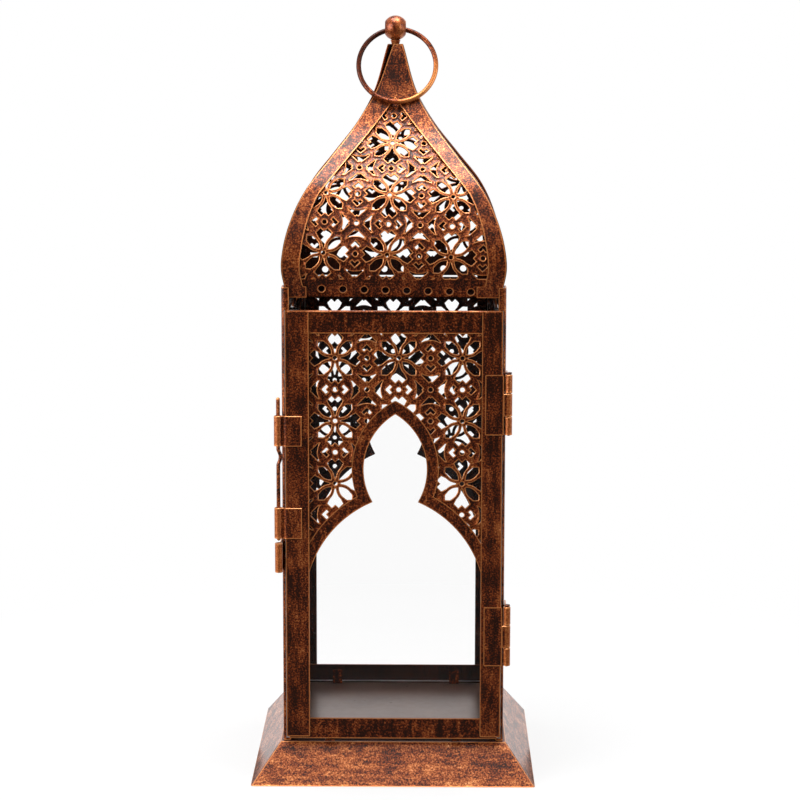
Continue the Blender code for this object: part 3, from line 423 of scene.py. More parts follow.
def cut_sheet(
    name, solid, span, cell, place, depth, thickness, material, body, nodes,
    relief=None, stored=None, back=1.0,
):
    """A thin sheet in the shape of solid(u, v), the distance inwards from its outline.

    Even cells whose middle is on the metal are kept, and two that meet at a corner alone get a
    third beside them. Points on the outer rim slide down the slope of solid to where it is zero,
    by less than half a cell, so no two meet. Both faces are place(u, v, depth), a thickness
    apart and lifted by relief(u, v), and a wall joins them along every rim.
    """
    left, right, low, high = span
    steps_u, steps_v = max(2, round((right - left) / cell)), max(2, round((high - low) / cell))
    size_u, size_v = (right - left) / steps_u, (high - low) / steps_v
    lines_u, lines_v = np.linspace(left, right, steps_u + 1), np.linspace(low, high, steps_v + 1)
    u, v = np.meshgrid(lines_u, lines_v, indexing="ij")
    cells = solid(u[:-1, :-1] + size_u / 2, v[:-1, :-1] + size_v / 2) > 0
    for _ in range(3):
        a, b, c, d = cells[:-1, :-1], cells[1:, 1:], cells[1:, :-1], cells[:-1, 1:]
        c |= a & b & ~d
        d |= a & b & ~c
        a |= c & d & ~b
    padded = np.pad(cells, 1)
    around = np.sum((padded[:-1, :-1], padded[1:, :-1], padded[:-1, 1:], padded[1:, 1:]), axis=0)
    used = around > 0
    numbers = np.cumsum(used).reshape(used.shape) - 1
    i, j = np.nonzero(cells)
    corners = ((i, j), (i + 1, j), (i + 1, j + 1), (i, j + 1))
    quads = np.stack([numbers[corner] for corner in corners], -1)
    sides = []
    for side, (beside_i, beside_j) in enumerate(((0, -1), (1, 0), (0, 1), (-1, 0))):
        open_side = ~padded[i + 1 + beside_i, j + 1 + beside_j]
        sides.append(quads[open_side][:, [side, (side + 1) % 4]])
    start, end = np.concatenate(sides).T

    rim = around[used] < 4
    u, v = u[used], v[used]
    reach = min(size_u, size_v)
    first_u, first_v = u[rim], v[rim]
    for _ in range(4):
        rise_u, rise_v = slope_of(solid, u[rim], v[rim], reach * 0.2)
        pull = solid(u[rim], v[rim]) / np.maximum(rise_u**2 + rise_v**2, 0.25)
        moved_u, moved_v = rise_u * pull, rise_v * pull
        cap = np.minimum(1.0, 0.6 * reach / np.maximum(np.hypot(moved_u, moved_v), 1e-12))
        slid_u, slid_v = u[rim] - moved_u * cap - first_u, v[rim] - moved_v * cap - first_v
        u[rim] = first_u + np.clip(slid_u, -0.49 * size_u, 0.49 * size_u)
        v[rim] = first_v + np.clip(slid_v, -0.49 * size_v, 0.49 * size_v)

    lift = relief(u, v) if relief else 0.0
    faces_at = (depth - lift, depth + thickness - lift)
    points = np.concatenate([np.stack(place(u, v, at), -1) for at in faces_at])
    count = len(u)
    from_rim = np.where(rim, 0.0, np.maximum(solid(u, v), 0.0))
    values = {"bare": np.tile(nearness(from_rim), 2), "inner": np.repeat([0.0, back], count)}
    for title, rule in (stored or {}).items():
        values[title] = np.tile(rule(u, v), 2)
    rim_wall = np.stack([start, start + count, end + count, end], -1)
    faces = np.concatenate([quads, quads[:, ::-1] + count, rim_wall])
    piece_of(name, points, faces, values, material, body, nodes)


def oblong(left, right, low, high, corner=0.0004):
    """solid(u, v) of a rectangle with rounded corners."""
    middle_u, middle_v = (left + right) / 2, (low + high) / 2

    def solid(u, v):
        out_u = np.abs(u - middle_u) - (right - left) / 2 + corner
        out_v = np.abs(v - middle_v) - (high - low) / 2 + corner
        away = np.hypot(np.maximum(out_u, 0), np.maximum(out_v, 0))
        return corner - away - np.minimum(np.maximum(out_u, out_v), 0)

    return solid


def plain_strip(name, span, cell, place, depth, thickness, material, body, nodes, back=1.0):
    """A cut sheet in the shape of a rectangle with rounded corners, which fills its span."""
    cut_sheet(
        name, oblong(*span), span, cell, place, depth, thickness, material, body, nodes, back=back
    )


def turned_about_z(x, y, quarters):
    """The point (x, y) after quarter turns about Z."""
    cosine, sine = ((1, 0), (0, 1), (-1, 0), (0, -1))[quarters % 4]
    return cosine * x - sine * y, sine * x + cosine * y


def on_corner(quarters):
    """place(u, v, depth) round a corner: u is the run from the fold, and the fold is an arc."""

    def place(u, v, depth):
        run = np.abs(u)
        turn = np.clip(run / FOLD, 0, 1) * math.pi / 4
        straight = np.maximum(run - FOLD, 0.0)
        reach = FOLD - (FOLD - depth) * np.sin(math.pi / 4 - turn) + straight
        inwards = FOLD - (FOLD - depth) * np.cos(math.pi / 4 - turn)
        reach = np.where(run > FOLD, FOLD + straight, reach)
        inwards = np.where(run > FOLD, depth, inwards)
        x = BODY_HALF - np.where(u > 0, reach, inwards)
        y = BODY_HALF - np.where(u > 0, inwards, reach)
        return *turned_about_z(x, y, quarters), v

    return place


post_copper = rubbed_copper("post_copper", 0.24)
for corner, quarters, run in (
    ("back_right", 0, (-POST_FLANGE, POST_FLANGE)),
    ("back_left", 1, (-POST_FLANGE, POST_FLANGE)),
    ("front_left", 2, (-POST_FLANGE, POST_FRONT_FLANGE)),
    ("front_right", 3, (-POST_FRONT_FLANGE, POST_FLANGE)),
):
    plain_strip(
        f"corner_post_{corner}", (*run, POST_FOOT, POST_TOP), 0.0006, on_corner(quarters),
        0.0, POST_WALL, post_copper, "lantern_body", [f"post_{corner}"],
    )

# Rails: flat strips between the posts, at the foot and the head of each fixed wall. Their
# faces are streaked by the rubbing pad, and darker than the skirt.
WALLS = {"right": 1, "back": 2, "left": 3}
RAIL_DEPTH = POST_WALL + GAP
RAIL_THICKNESS = 0.0007
RAIL_HALF = BODY_HALF - 0.0021
BOTTOM_RAIL = 0.0084
TOP_RAIL = 0.0092
WALL_TOP = 0.1913
rail_copper = rubbed_copper("rail_copper", 0.12)


def on_wall(quarters):
    """place(u, v, depth) on the wall that is so many quarter turns to the right of the door."""

    def place(u, v, depth):
        return *turned_about_z(u, depth - BODY_HALF, quarters), v

    return place


for side, quarters in WALLS.items():
    bottom, top = (POST_FOOT, POST_FOOT + BOTTOM_RAIL), (WALL_TOP - TOP_RAIL, WALL_TOP)
    for kind, heights in (("bottom", bottom), ("top", top)):
        plain_strip(
            f"{side}_{kind}_bar", (-RAIL_HALF, RAIL_HALF, *heights), 0.0007, on_wall(quarters),
            RAIL_DEPTH, RAIL_THICKNESS, rail_copper, "lantern_body", [f"{side}_{kind}_rail"],
        )

# Pierced sheets of the walls: thin sheet, punched with flowers on a square lattice, a medallion
# between each two flowers and a cross in each square. Pressing leaves a raised, rubbed rim round
# every opening. A pointed arch is cut out below, and a plain strip is soldered along it.
PITCH = 0.0247
RIM = 0.00120
ROOT_2 = math.sqrt(2)
FLOWER_EYE = 0.00085
PETAL_FROM = 0.0021
PETAL_TO = 0.0092
PETAL_WIDTH = 0.0033
BULGE_AT = 0.0071
BULGE = 0.00155
FAN_MOUTH = 0.0084
FAN_NOTCH = 0.00135
FAN_TIP = 0.0019
FAN_SLOPE = 0.50
FAN_COSINE = 0.894
KNOB = 0.00093
BAR_AT = 0.00449
BAR_HALF = 0.00056
BAR_END = 0.00106
CROSS_EYE = 0.0009
WING_RING = 0.0071
WING_STEP = 0.0029
WING_NOTCH = 0.0006
WING_HALF = 0.0035
WING_END = 0.0076
SHEET_DEPTH = RAIL_DEPTH + RAIL_THICKNESS + GAP
PIERCED = 0.0005
PIERCED_CELL = PITCH / 66
RIM_RISE = 0.00022
RIM_AT = 0.0004
RIM_HALF = 0.00032
WALL_WINDOW_HALF = 0.0340
WALL_WINDOW_TOP = WALL_TOP - TOP_RAIL
WALL_ARCH_Z = 0.1286
FLOWER_ASIDE = 0.0013
FLOWER_UP = 0.0190
SHEET_LAP = 0.0050
SHEET_TOP_LAP = 0.0035
BORDER = 0.0013
HEAD_ARC = 0.0255
HEAD_ARC_ASIDE = 0.0132
FOOT_ARC = 0.0437
FOOT_ARC_ASIDE = 0.0085
FOOT_ARC_DOWN = 0.0530
ARCH_LAP = 0.0010
ARCH_STRIP = 0.00465
ARCH_HEIGHT = 0.0274
MITRE_FROM = 0.0150
MITRE_HALF = 0.00055


def petal_from(a, b, start, end, width):
    """Distance to a petal along a: where two equal discs overlap, one on each side of b = 0."""
    half = (end - start) / 2
    radius = (half**2 + (width / 2) ** 2) / width
    return np.hypot(a - (start + end) / 2, np.abs(b) + radius - width / 2) - radius


def from_openings(x, y):
    """Distance from (x, y) to the nearest opening, negative inside; a flower is at (0, 0).

    The lattice folds onto one eighth of a flower's square, where each opening is a disc, a petal, a
    bent bar, or the overlap of a disc or a wedge with a zigzag of 45 degree steps.
    """
    x = np.abs(x - PITCH * np.round(x / PITCH))
    y = np.abs(y - PITCH * np.round(y / PITCH))
    far, near = np.maximum(x, y), np.minimum(x, y)
    diagonal, aside = (x + y) / ROOT_2, (x - y) / ROOT_2
    petal = petal_from(diagonal, aside, PETAL_FROM, PETAL_TO, PETAL_WIDTH)
    petal = np.minimum(petal, np.hypot(diagonal - BULGE_AT, aside) - BULGE)
    zigzag = (far - FAN_MOUTH - (FAN_NOTCH - np.abs(near - FAN_NOTCH))) / ROOT_2
    wedge = (near - FAN_SLOPE * (far - FAN_TIP)) * FAN_COSINE
    fan = np.maximum(np.maximum(zigzag, wedge), RIM - petal)
    eye = np.hypot(x, y) - FLOWER_EYE
    sideways, inward = PITCH / 2 - far, PITCH / 2 - near
    knob = np.hypot(sideways, near) - KNOB
    bar = np.abs(sideways + near - BAR_AT) / ROOT_2 - BAR_HALF
    bent_bar = np.maximum(bar, (sideways - near) / ROOT_2 + BAR_END)
    cross_eye = np.hypot(inward, sideways) - CROSS_EYE
    steps = (WING_STEP + np.abs(sideways - WING_NOTCH) - inward) / ROOT_2
    wing = np.maximum(WING_RING - np.hypot(near, sideways), steps)
    wing = np.maximum(np.maximum(wing, sideways - WING_HALF), RIM - petal)
    wing = np.maximum(wing, inward - WING_END)
    return np.minimum.reduce([eye, petal, fan, knob, bent_bar, cross_eye, wing])


def arch(x, z):
    """Distance from (x, z) to the arch's edge, positive on the metal: two arcs on each side."""
    head = np.hypot(np.abs(x) + HEAD_ARC_ASIDE, z) - HEAD_ARC
    foot = np.hypot(np.abs(x) + FOOT_ARC_ASIDE, z + FOOT_ARC_DOWN) - FOOT_ARC
    return np.minimum(head, foot)


def pierced_sheet(name, outline, openings, span, place, depth, material, body, nodes):
    """A cut sheet with openings(u, v) taken out; its rims rise in a bell just off each edge."""
    cut_sheet(
        name,
        lambda u, v: np.minimum(outline(u, v), openings(u, v)),
        span, PIERCED_CELL, place, depth, PIERCED, material, body, nodes,
        relief=lambda u, v: RIM_RISE * np.exp(-(((openings(u, v) - RIM_AT) / RIM_HALF) ** 2)),
        stored={"rim": lambda u, v: nearness(openings(u, v))},
    )


def rim_copper(name, rub):
    """Rubbed copper that is bright on the pressed rims, and keeps its black between them."""
    material = rubbed_copper(name, rub, 0.35)
    tree = material.node_tree
    group = next(node for node in tree.nodes if node.type == "GROUP")
    tree.links.new(attribute_of(tree, "rim"), group.inputs["Bare"])
    return material


pierced_copper = rim_copper("pierced_copper", 0.20)
strip_copper = rubbed_copper("strip_copper", 0.12)


def arched_window(side, body, middle, half, top, arch_z, place, sheet_depth, strip_depth):
    """A pierced sheet, and before it the strip, a band of even width along the arch's edge."""
    foot = arch_z - FOOT_ARC_DOWN + math.sqrt(FOOT_ARC**2 - (half + FOOT_ARC_ASIDE) ** 2)
    span = (middle - half - SHEET_LAP, middle + half + SHEET_LAP, foot, top + SHEET_TOP_LAP)
    border = oblong(*span)

    def from_arch(u, v):
        return arch(u - middle, v - arch_z)

    def outline(u, v):
        return np.minimum(border(u, v), from_arch(u, v) - ARCH_LAP)

    def openings(u, v):
        pattern = from_openings(u - middle - FLOWER_ASIDE, v - arch_z - FLOWER_UP)
        return np.maximum(pattern, BORDER - border(u, v))

    def strip(u, v):
        band = np.minimum(from_arch(u, v), ARCH_STRIP - from_arch(u, v))
        return np.minimum(band, half + ARCH_LAP - np.abs(u - middle))

    def edges_and_mitre(u, v):
        mitre = np.where(v > arch_z + MITRE_FROM, 1.0 - np.abs(u - middle) / MITRE_HALF, 0.0)
        return np.maximum(nearness(np.maximum(strip(u, v), 0.0)), mitre)

    pierced_sheet(
        f"{side}_pierced_sheet", outline, openings, span, place, sheet_depth,
        pierced_copper, body, [f"{side}_filigree"],
    )
    span = (middle - half - ARCH_LAP, middle + half + ARCH_LAP, foot - 0.0010, arch_z + ARCH_HEIGHT)
    cut_sheet(
        f"{side}_arch_band", strip, span, 0.00045, place, strip_depth, RAIL_THICKNESS,
        strip_copper, body, [f"{side}_arch_strip"], stored={"bare": edges_and_mitre},
    )


for side, quarters in WALLS.items():
    arched_window(
        side, "lantern_body", 0.0, WALL_WINDOW_HALF, WALL_WINDOW_TOP, WALL_ARCH_Z,
        on_wall(quarters), SHEET_DEPTH, RAIL_DEPTH,
    )

# Panes: clear float glass with ground edges, slid in behind each sheet and held at the foot by
# two bent tabs.
PANE_FOOT = 0.0170
WALL_PANE_HALF = 0.0385
DOOR_PANE_AT = 0.0423
GROUND = 0.0002


def float_glass(name, side):
    """Clear glass, rough on the cut edges: where both x and y pass side, and at the foot."""
    glass = bpy.data.materials.new(name)
    glass.use_nodes = True
    tree = glass.node_tree
    shader = tree.nodes["Principled BSDF"]
    shader.inputs["Transmission Weight"].default_value = 1.0
    shader.inputs["IOR"].default_value = 1.26
    shader.inputs["Base Color"].default_value = (1.0, 1.0, 1.0, 1.0)
    spot = tree.nodes.new("ShaderNodeTexCoord").outputs["Object"]
    aside = [step_of(tree, "ABSOLUTE", coordinate(tree, spot, axis), 0.0) for axis in "XY"]
    ends = step_of(tree, "GREATER_THAN", step_of(tree, "MINIMUM", *aside), side - GROUND)
    foot = step_of(tree, "LESS_THAN", coordinate(tree, spot, "Z"), PANE_FOOT + GROUND)
    ground = step_of(tree, "MAXIMUM", ends, foot)
    tree.links.new(step_of(tree, "MULTIPLY", ground, 0.6), shader.inputs["Roughness"])
    return glass


wall_glass = float_glass("wall_glass", WALL_PANE_HALF)
door_glass = float_glass("door_glass", DOOR_PANE_AT)
clip_copper = rubbed_copper("clip_copper", 0.14)
for side in (*WALLS, "door"):
    finish(f"{side}_pane", door_glass if side == "door" else wall_glass)
    finish(f"{side}_clip_a", clip_copper)
    finish(f"{side}_clip_b", clip_copper)

# Door: two stiles laid over a top and a bottom rail and soldered, with their own pierced sheet,
# arch strip and pane behind. The bottom rail's edge shows a millimetre under the stiles.
DOOR_LEFT = -0.0420
DOOR_RIGHT = 0.0422
DOOR_FOOT = 0.0172
DOOR_HEAD = 0.1876
LEFT_STILE = 0.0092
RIGHT_STILE = 0.0080
DOOR_TOP_RAIL = 0.0089
DOOR_BOTTOM_RAIL = 0.0083
DOOR_INSET = 0.0010
STILE_DEPTH = -0.0050
DOOR_RAIL_DEPTH = -0.0040
DOOR_SHEET_DEPTH = -0.0030
DOOR_MIDDLE = 0.0007
DOOR_WINDOW_HALF = 0.0335
DOOR_ARCH_Z = 0.1253
front = on_wall(0)
stile_copper = rubbed_copper("stile_copper", 0.16)
upright = (DOOR_FOOT + DOOR_INSET, DOOR_HEAD)
across = (DOOR_LEFT + DOOR_INSET, DOOR_RIGHT - DOOR_INSET)
left, right = (DOOR_LEFT, DOOR_LEFT + LEFT_STILE), (DOOR_RIGHT - RIGHT_STILE, DOOR_RIGHT)
top, bottom = (DOOR_HEAD - DOOR_TOP_RAIL, DOOR_HEAD), (DOOR_FOOT, DOOR_FOOT + DOOR_BOTTOM_RAIL)
for name, node, span, depth, material in (
    ("left_stile", "door_left_stile", (*left, *upright), STILE_DEPTH, stile_copper),
    ("right_stile", "door_right_stile", (*right, *upright), STILE_DEPTH, stile_copper),
    ("door_top_bar", "door_top_rail", (*across, *top), DOOR_RAIL_DEPTH, rail_copper),
    ("door_bottom_bar", "door_bottom_rail", (*across, *bottom), DOOR_RAIL_DEPTH, rail_copper),
):
    plain_strip(name, span, 0.0005, front, depth, RAIL_THICKNESS, material, "door", [node])
arched_window(
    "door", "door", DOOR_MIDDLE, DOOR_WINDOW_HALF, DOOR_HEAD - DOOR_TOP_RAIL, DOOR_ARCH_Z,
    front, DOOR_SHEET_DEPTH, DOOR_RAIL_DEPTH,
)

# Door's head hem: the top edge is folded over to a thin roll from side to side, and catches the
# light from above.
HEM_RADIUS = 0.00042
HEM_END = 0.0004
HEM_RINGS = 90
HEM_SIDES = 12


def tube_faces(rings, sides):
    """Quads of a tube of rings one above the other, with strips across both ends to close it."""
    k = np.arange(sides // 2 - 1)
    cap = np.stack([k, k + 1, sides - 2 - k, sides - 1 - k], -1)
    skin = grid_faces(rings, sides, closed=False)
    return np.concatenate([skin, cap[:, ::-1], cap + (rings - 1) * sides])


def rounded_girth(from_end, least):
    """Share of the full girth: a quarter circle up to from_end = 1, and full from there."""
    return np.sqrt(np.clip(1.0 - (1.0 - np.minimum(from_end, 1.0)) ** 2, least, 1.0))[:, None]


run = np.linspace(DOOR_LEFT + 0.0002, DOOR_RIGHT - 0.0002, HEM_RINGS)
girth = HEM_RADIUS * rounded_girth(np.minimum(run - run[0], run[-1] - run) / HEM_END, 0.01)
turn = np.arange(HEM_SIDES) * 2 * math.pi / HEM_SIDES
x = np.broadcast_to(run[:, None], (HEM_RINGS, HEM_SIDES))
y = -BODY_HALF + STILE_DEPTH + 0.00030 + girth * np.cos(turn)
z = DOOR_HEAD - 0.00040 + girth * np.sin(turn)
piece_of(
    "door_head_hem",
    np.stack([x, y, z], -1).reshape(-1, 3),
    tube_faces(HEM_RINGS, HEM_SIDES),
    {"bare": np.full(x.size, 0.72)},
    rubbed_copper("hem_copper", 0.45, 0.20),
    "door",
    [],
)

# Dome: four sheets rolled to an onion curve and soldered along their edges. Each is cut to two
# legs that meet in a plain spire, and a pierced sheet is soldered behind the opening, with a
# plain band of small round holes along its foot. The front sheet's left seam gapes at the spire.
DOME_FOOT = 0.1919
DOME_RISE = 0.0969
DOME_FOOT_HALF = BODY_HALF - 0.0022
SPIRE_HALF = 0.00305
DOME_SHEET = 0.0007
MITRE_GAP = 0.00022
LEG_AT_FOOT = 0.0073
LEG_AT_TOP = 0.0058
OPENING_APEX = 0.0860
APEX_SLOPE = 0.66
TAB_HEIGHT = 0.0045
TAB_REACH = 0.0031
LEFT_TAB_REACH = 0.0013
DOME_SPAN_HALF = 0.0437
DOME_PIERCED_DEPTH = 0.0012
DOME_PIERCED_HALF = 0.0387
DOME_PIERCED_TOP = OPENING_APEX + 0.002
DOME_LAP = 0.0025
DOME_BORDER = 0.0008
DOME_FLOWER_ASIDE = -0.0026
DOME_FLOWER_UP = 0.0171
PLAIN_APEX = 0.0806
BAND_HEIGHT = 0.0074
BAND_PITCH = 0.00827
BAND_HOLE = 0.00133
BAND_ASIDE = 0.0009
BAND_UP = 0.0026
share = np.array([0.0, 0.047, 0.110, 0.200, 0.284, 0.421, 0.549, 0.672, 0.774, 1.0])
swell = np.array([1.0, 1.029, 1.058, 1.040, 0.986, 0.825, 0.574, 0.334, 0.181, 0.0])
slopes = np.gradient(swell, share)
slopes[0] = (swell[1] - swell[0]) / (share[1] - share[0])
slopes[-1] = (swell[-1] - swell[-2]) / (share[-1] - share[-2])
at = np.linspace(0, 1, 400)
i = np.clip(np.searchsorted(share, at, side="right") - 1, 0, len(share) - 2)
width = share[i + 1] - share[i]
t = (at - share[i]) / width
curve = swell[i] * (2 * t**3 - 3 * t**2 + 1) + swell[i + 1] * (3 * t**2 - 2 * t**3)
curve += width * (slopes[i] * (t**3 - 2 * t**2 + t) + slopes[i + 1] * (t**3 - t**2))
half_at = SPIRE_HALF + (DOME_FOOT_HALF - SPIRE_HALF) * curve
height_at = DOME_FOOT + DOME_RISE * at
length_at = np.concatenate([[0.0], np.cumsum(np.hypot(np.diff(half_at), np.diff(height_at)))])
lean_at = np.gradient(half_at, length_at)
climb_at = np.gradient(height_at, length_at)
DOME_LENGTH = float(length_at[-1])


def on_dome(quarters):
    """place(u, v, depth) on a dome face: v runs up the onion curve, depth goes in square to it."""

    def place(u, v, depth):
        half = np.interp(v, length_at, half_at) - depth * np.interp(v, length_at, climb_at)
        height = np.interp(v, length_at, height_at) + depth * np.interp(v, length_at, lean_at)
        limit = half - MITRE_GAP
        return *turned_about_z(np.clip(u, -limit, limit), -half, quarters), height

    return place


def opening_half(v):
    """Half the width of the opening between a dome face's legs, at length v."""
    share = np.clip((v - 0.020) / 0.025, 0.0, 1.0)
    leg = LEG_AT_FOOT + (LEG_AT_TOP - LEG_AT_FOOT) * share
    return np.minimum(np.interp(v, length_at, half_at) - leg, (OPENING_APEX - v) * APEX_SLOPE)


def dome_legs(u, v, slit):
    """Distance inwards from a dome frame's outline, cut back at the spire's left by slit."""
    edge = np.interp(v, length_at, half_at) - MITRE_GAP
    cut_back = slit * np.clip((v - PLAIN_APEX) / (DOME_LENGTH - PLAIN_APEX), 0.0, 1.0)
    beside = np.minimum((edge - np.abs(u)) * 0.9, (edge + u - cut_back) * 0.9)
    opening = (np.abs(u) - opening_half(v)) * 0.84
    tab_reach = np.where(u < 0, LEFT_TAB_REACH, TAB_REACH)
    tab = np.abs(u) - (opening_half(np.full_like(v, TAB_HEIGHT)) - tab_reach)
    window = np.where(v < TAB_HEIGHT, tab, opening)
    window = np.maximum(window, np.minimum(TAB_HEIGHT - v, tab))
    return np.minimum(np.minimum(beside, window), np.minimum(v, DOME_LENGTH - v))


def dome_outline(u, v):
    """Distance inwards from the outline of a dome's pierced sheet, which laps the legs."""
    beside = (opening_half(np.maximum(v, TAB_HEIGHT)).clip(0.0) + DOME_LAP - np.abs(u)) * 0.9
    return np.minimum(beside, np.minimum(v, DOME_PIERCED_TOP - v))


def dome_openings(u, v, tilt):
    """Distance to a dome sheet's nearest opening: the lattice turned by tilt, or a round hole."""
    cosine, sine = math.cos(math.radians(tilt)), math.sin(math.radians(tilt))
    right, up = u - DOME_FLOWER_ASIDE, v - DOME_FLOWER_UP
    pattern = from_openings(cosine * right + sine * up, cosine * up - sine * right)
    pattern = np.maximum(pattern, np.maximum(BAND_HEIGHT - v, v - PLAIN_APEX))
    along_band = cosine * (u - BAND_ASIDE) + sine * (v - BAND_UP)
    above_band = v - BAND_UP - 0.6 * sine * (u - BAND_ASIDE)
    nearest = np.clip(np.round(along_band / BAND_PITCH - 0.5) + 0.5, -3.5, 3.5) * BAND_PITCH
    band = np.hypot(along_band - nearest, above_band) - BAND_HOLE
    return np.maximum(np.minimum(pattern, band), DOME_BORDER - dome_outline(u, v))


dome_copper = rubbed_copper("dome_copper", 0.22, coat=0.6)
dome_pierced_copper = rim_copper("dome_pierced_copper", 0.17)
for side, quarters, tilt, slit in (
    ("front", 0, -2.0, 0.0021),
    ("right", 1, 0.7, 0.0),
    ("back", 2, -0.9, 0.0),
    ("left", 3, 1.1, 0.0),
):
    span = (-DOME_SPAN_HALF, DOME_SPAN_HALF, 0.0, DOME_LENGTH)
    cut_sheet(
        f"{side}_dome_rib", partial(dome_legs, slit=slit), span, 0.00055, on_dome(quarters),
        0.0, DOME_SHEET, dome_copper, "lantern_body", [f"dome_{side}_frame"],
    )
    span = (-DOME_PIERCED_HALF, DOME_PIERCED_HALF, 0.0, DOME_PIERCED_TOP)
    pierced_sheet(
        f"{side}_dome_pierced_sheet", dome_outline, partial(dome_openings, tilt=tilt), span,
        on_dome(quarters), DOME_PIERCED_DEPTH, dome_pierced_copper, "lantern_body",
        [f"dome_{side}_filigree"],
    )

# Finial: a turned stem is soldered into the spire, under a ball drilled through from side to
# side for the ring, with both mouths flared. Handling has rubbed the ball bright.
SPIRE_TOP = DOME_FOOT + DOME_RISE
BALL_RADIUS = 0.0049
BALL_SIDES = 40
NECK_HEIGHT = 0.0014
STEM_FOOT = SPIRE_TOP - 0.0090
STEM_LENGTH = 0.0106
STEM_RADIUS = 0.0020
NECK_WAIST = 0.0006
BALL_Z = SPIRE_TOP + NECK_HEIGHT + BALL_RADIUS
RING_RADIUS = 0.0153
RING_WIRE = 0.0010
RING_SAG = 0.0005
RING_SWAY = 0.0008
RING_DROP = math.sqrt(RING_RADIUS**2 - RING_SWAY**2)
ball_copper = rubbed_copper("ball_copper", 0.42, 0.12, speckle=0.22, coat=0.5)


def turned_shape(profile, sides, axis):
    """A closed profile of (radius, run) points carried round the axis, and its quads."""
    turn = np.arange(sides) * 2 * math.pi / sides
    radius, run = np.asarray(profile, float).T
    across = radius[None, :] * np.cos(turn)[:, None]
    over = radius[None, :] * np.sin(turn)[:, None]
    lengthwise = np.broadcast_to(run[None, :], across.shape)
    order = {"Z": (across, over, lengthwise), "X": (lengthwise, across, over)}[axis]
    return np.stack(order, -1).reshape(-1, 3), grid_faces(sides, len(profile))


def ring_below(x):
    """How far the ring's wire lies under its pivot at x, for the worse of its two sides."""
    return RING_DROP - np.sqrt(RING_RADIUS**2 - (np.abs(x) + RING_SWAY) ** 2)


bore = RING_SAG + RING_WIRE + GAP
mouth = BALL_RADIUS
for _ in range(12):
    mouth = math.sqrt(BALL_RADIUS**2 - (bore + float(ring_below(mouth))) ** 2)
sweep = np.linspace(math.asin(mouth / BALL_RADIUS), -math.asin(mouth / BALL_RADIUS), 33)
ball = np.stack([BALL_RADIUS * np.cos(sweep), BALL_RADIUS * np.sin(sweep)], -1)
within = np.linspace(-mouth, mouth, 14)[1:-1]
drilling = np.stack([bore + ring_below(within) - ring_below(0.0), within], -1)
lips = np.zeros(len(ball) + len(drilling))
lips[[0, len(ball) - 1]] = 0.8
points, faces = turned_shape(np.concatenate([ball, drilling]), BALL_SIDES, "X")
points[:, 2] += BALL_Z
piece_of(
    "finial_knob",
    points,
    faces,
    {"bare": np.tile(lips, BALL_SIDES)},
    ball_copper,
    "lantern_body",
    ["finial_ball"],
    sharp=50.0,
)
run = np.linspace(0.0, 1.0, 24)
waist = np.sin(math.pi * np.clip((run - 0.55) / 0.45, 0.0, 1.0)) ** 1.5
stem = np.stack([STEM_RADIUS - NECK_WAIST * waist, STEM_FOOT + run * STEM_LENGTH], -1)
stem = np.concatenate([[(0.00002, stem[0, 1])], stem, [(0.00002, stem[-1, 1])]])
points, faces = turned_shape(stem, 28, "Z")
faces = faces[:, ::-1]
piece_of("finial_neck", points, faces, {}, ball_copper, "lantern_body", ["finial_stem"], sharp=40.0)

# Carry ring: a hard wire bent to a ring through the ball, with its butt joint hidden in the
# drilling. It hangs forward against the spire. Its colour is lightest on its lower right half and
# darkest on its upper left half.
RING_TURNS = 144
WIRE_SIDES = 16
WIRE_DRAWN = RING_WIRE * 0.98
wire_copper = rubbed_copper("wire_copper", 0.30, 0.15, coat=0.3)
tilt = 0.0
pivot_z = BALL_Z - RING_SAG
for _ in range(12):
    lowest = pivot_z - 2 * RING_RADIUS * math.cos(tilt)
    stands = np.interp(np.interp(lowest, height_at, length_at), length_at, half_at)
    tilt = math.atan2(stands + (RING_WIRE + GAP) / math.cos(tilt), pivot_z - lowest)
turn = np.arange(RING_TURNS)[:, None] * 2 * math.pi / RING_TURNS
around = np.arange(WIRE_SIDES) * 2 * math.pi / WIRE_SIDES
reach = RING_RADIUS + WIRE_DRAWN * np.cos(around)
x = RING_SWAY + reach * np.cos(turn)
down = -RING_DROP + reach * np.sin(turn)
thick = np.broadcast_to(WIRE_DRAWN * np.sin(around), x.shape)
y = thick * math.cos(tilt) + down * math.sin(tilt)
z = down * math.cos(tilt) - thick * math.sin(tilt) + pivot_z
# Runs round the ring: the colour is lightened towards the lower right through bare and darkened
# towards the upper left through inner.
bright_side = np.clip(0.5 + 0.5 * np.cos(turn + math.radians(40.0)), 0, 1) * np.ones(WIRE_SIDES)
piece_of(
    "ring_of_wire",
    np.stack([x, y, z], -1).reshape(-1, 3),
    grid_faces(RING_TURNS, WIRE_SIDES),
    {"bare": bright_side * 0.95, "inner": 0.9 * (1 - bright_side)},
    wire_copper,
    "ring",
    ["carry_ring"],
)

# Hinges: each has a leaf on the body's side, a leaf on the door's stile, knuckles rolled from
# the leaves' own edges, and a headed pin.
LEAF = 0.0005
LEAF_FRONT = STILE_DEPTH - GAP - LEAF - BODY_HALF
SIDE_LEAF = BODY_HALF + GAP
SIDE_LEAF_MIDDLE = SIDE_LEAF + LEAF / 2
HINGE_X = SIDE_LEAF + LEAF + 0.0002
HINGE_Y = LEAF_FRONT + 0.00135
HINGE_HEIGHT = 0.0236
KNUCKLE_HEIGHT = 0.0071
KNUCKLE_RADIUS = 0.00113
KNUCKLE_WALL = 0.0006
CUT_ROUND = 0.00012
leaf_copper = rubbed_copper("leaf_copper", 0.06)


def there_and_back(run):
    """The run and then itself reversed: up one face of a strip and down the other."""
    return np.concatenate([run, run[::-1]])


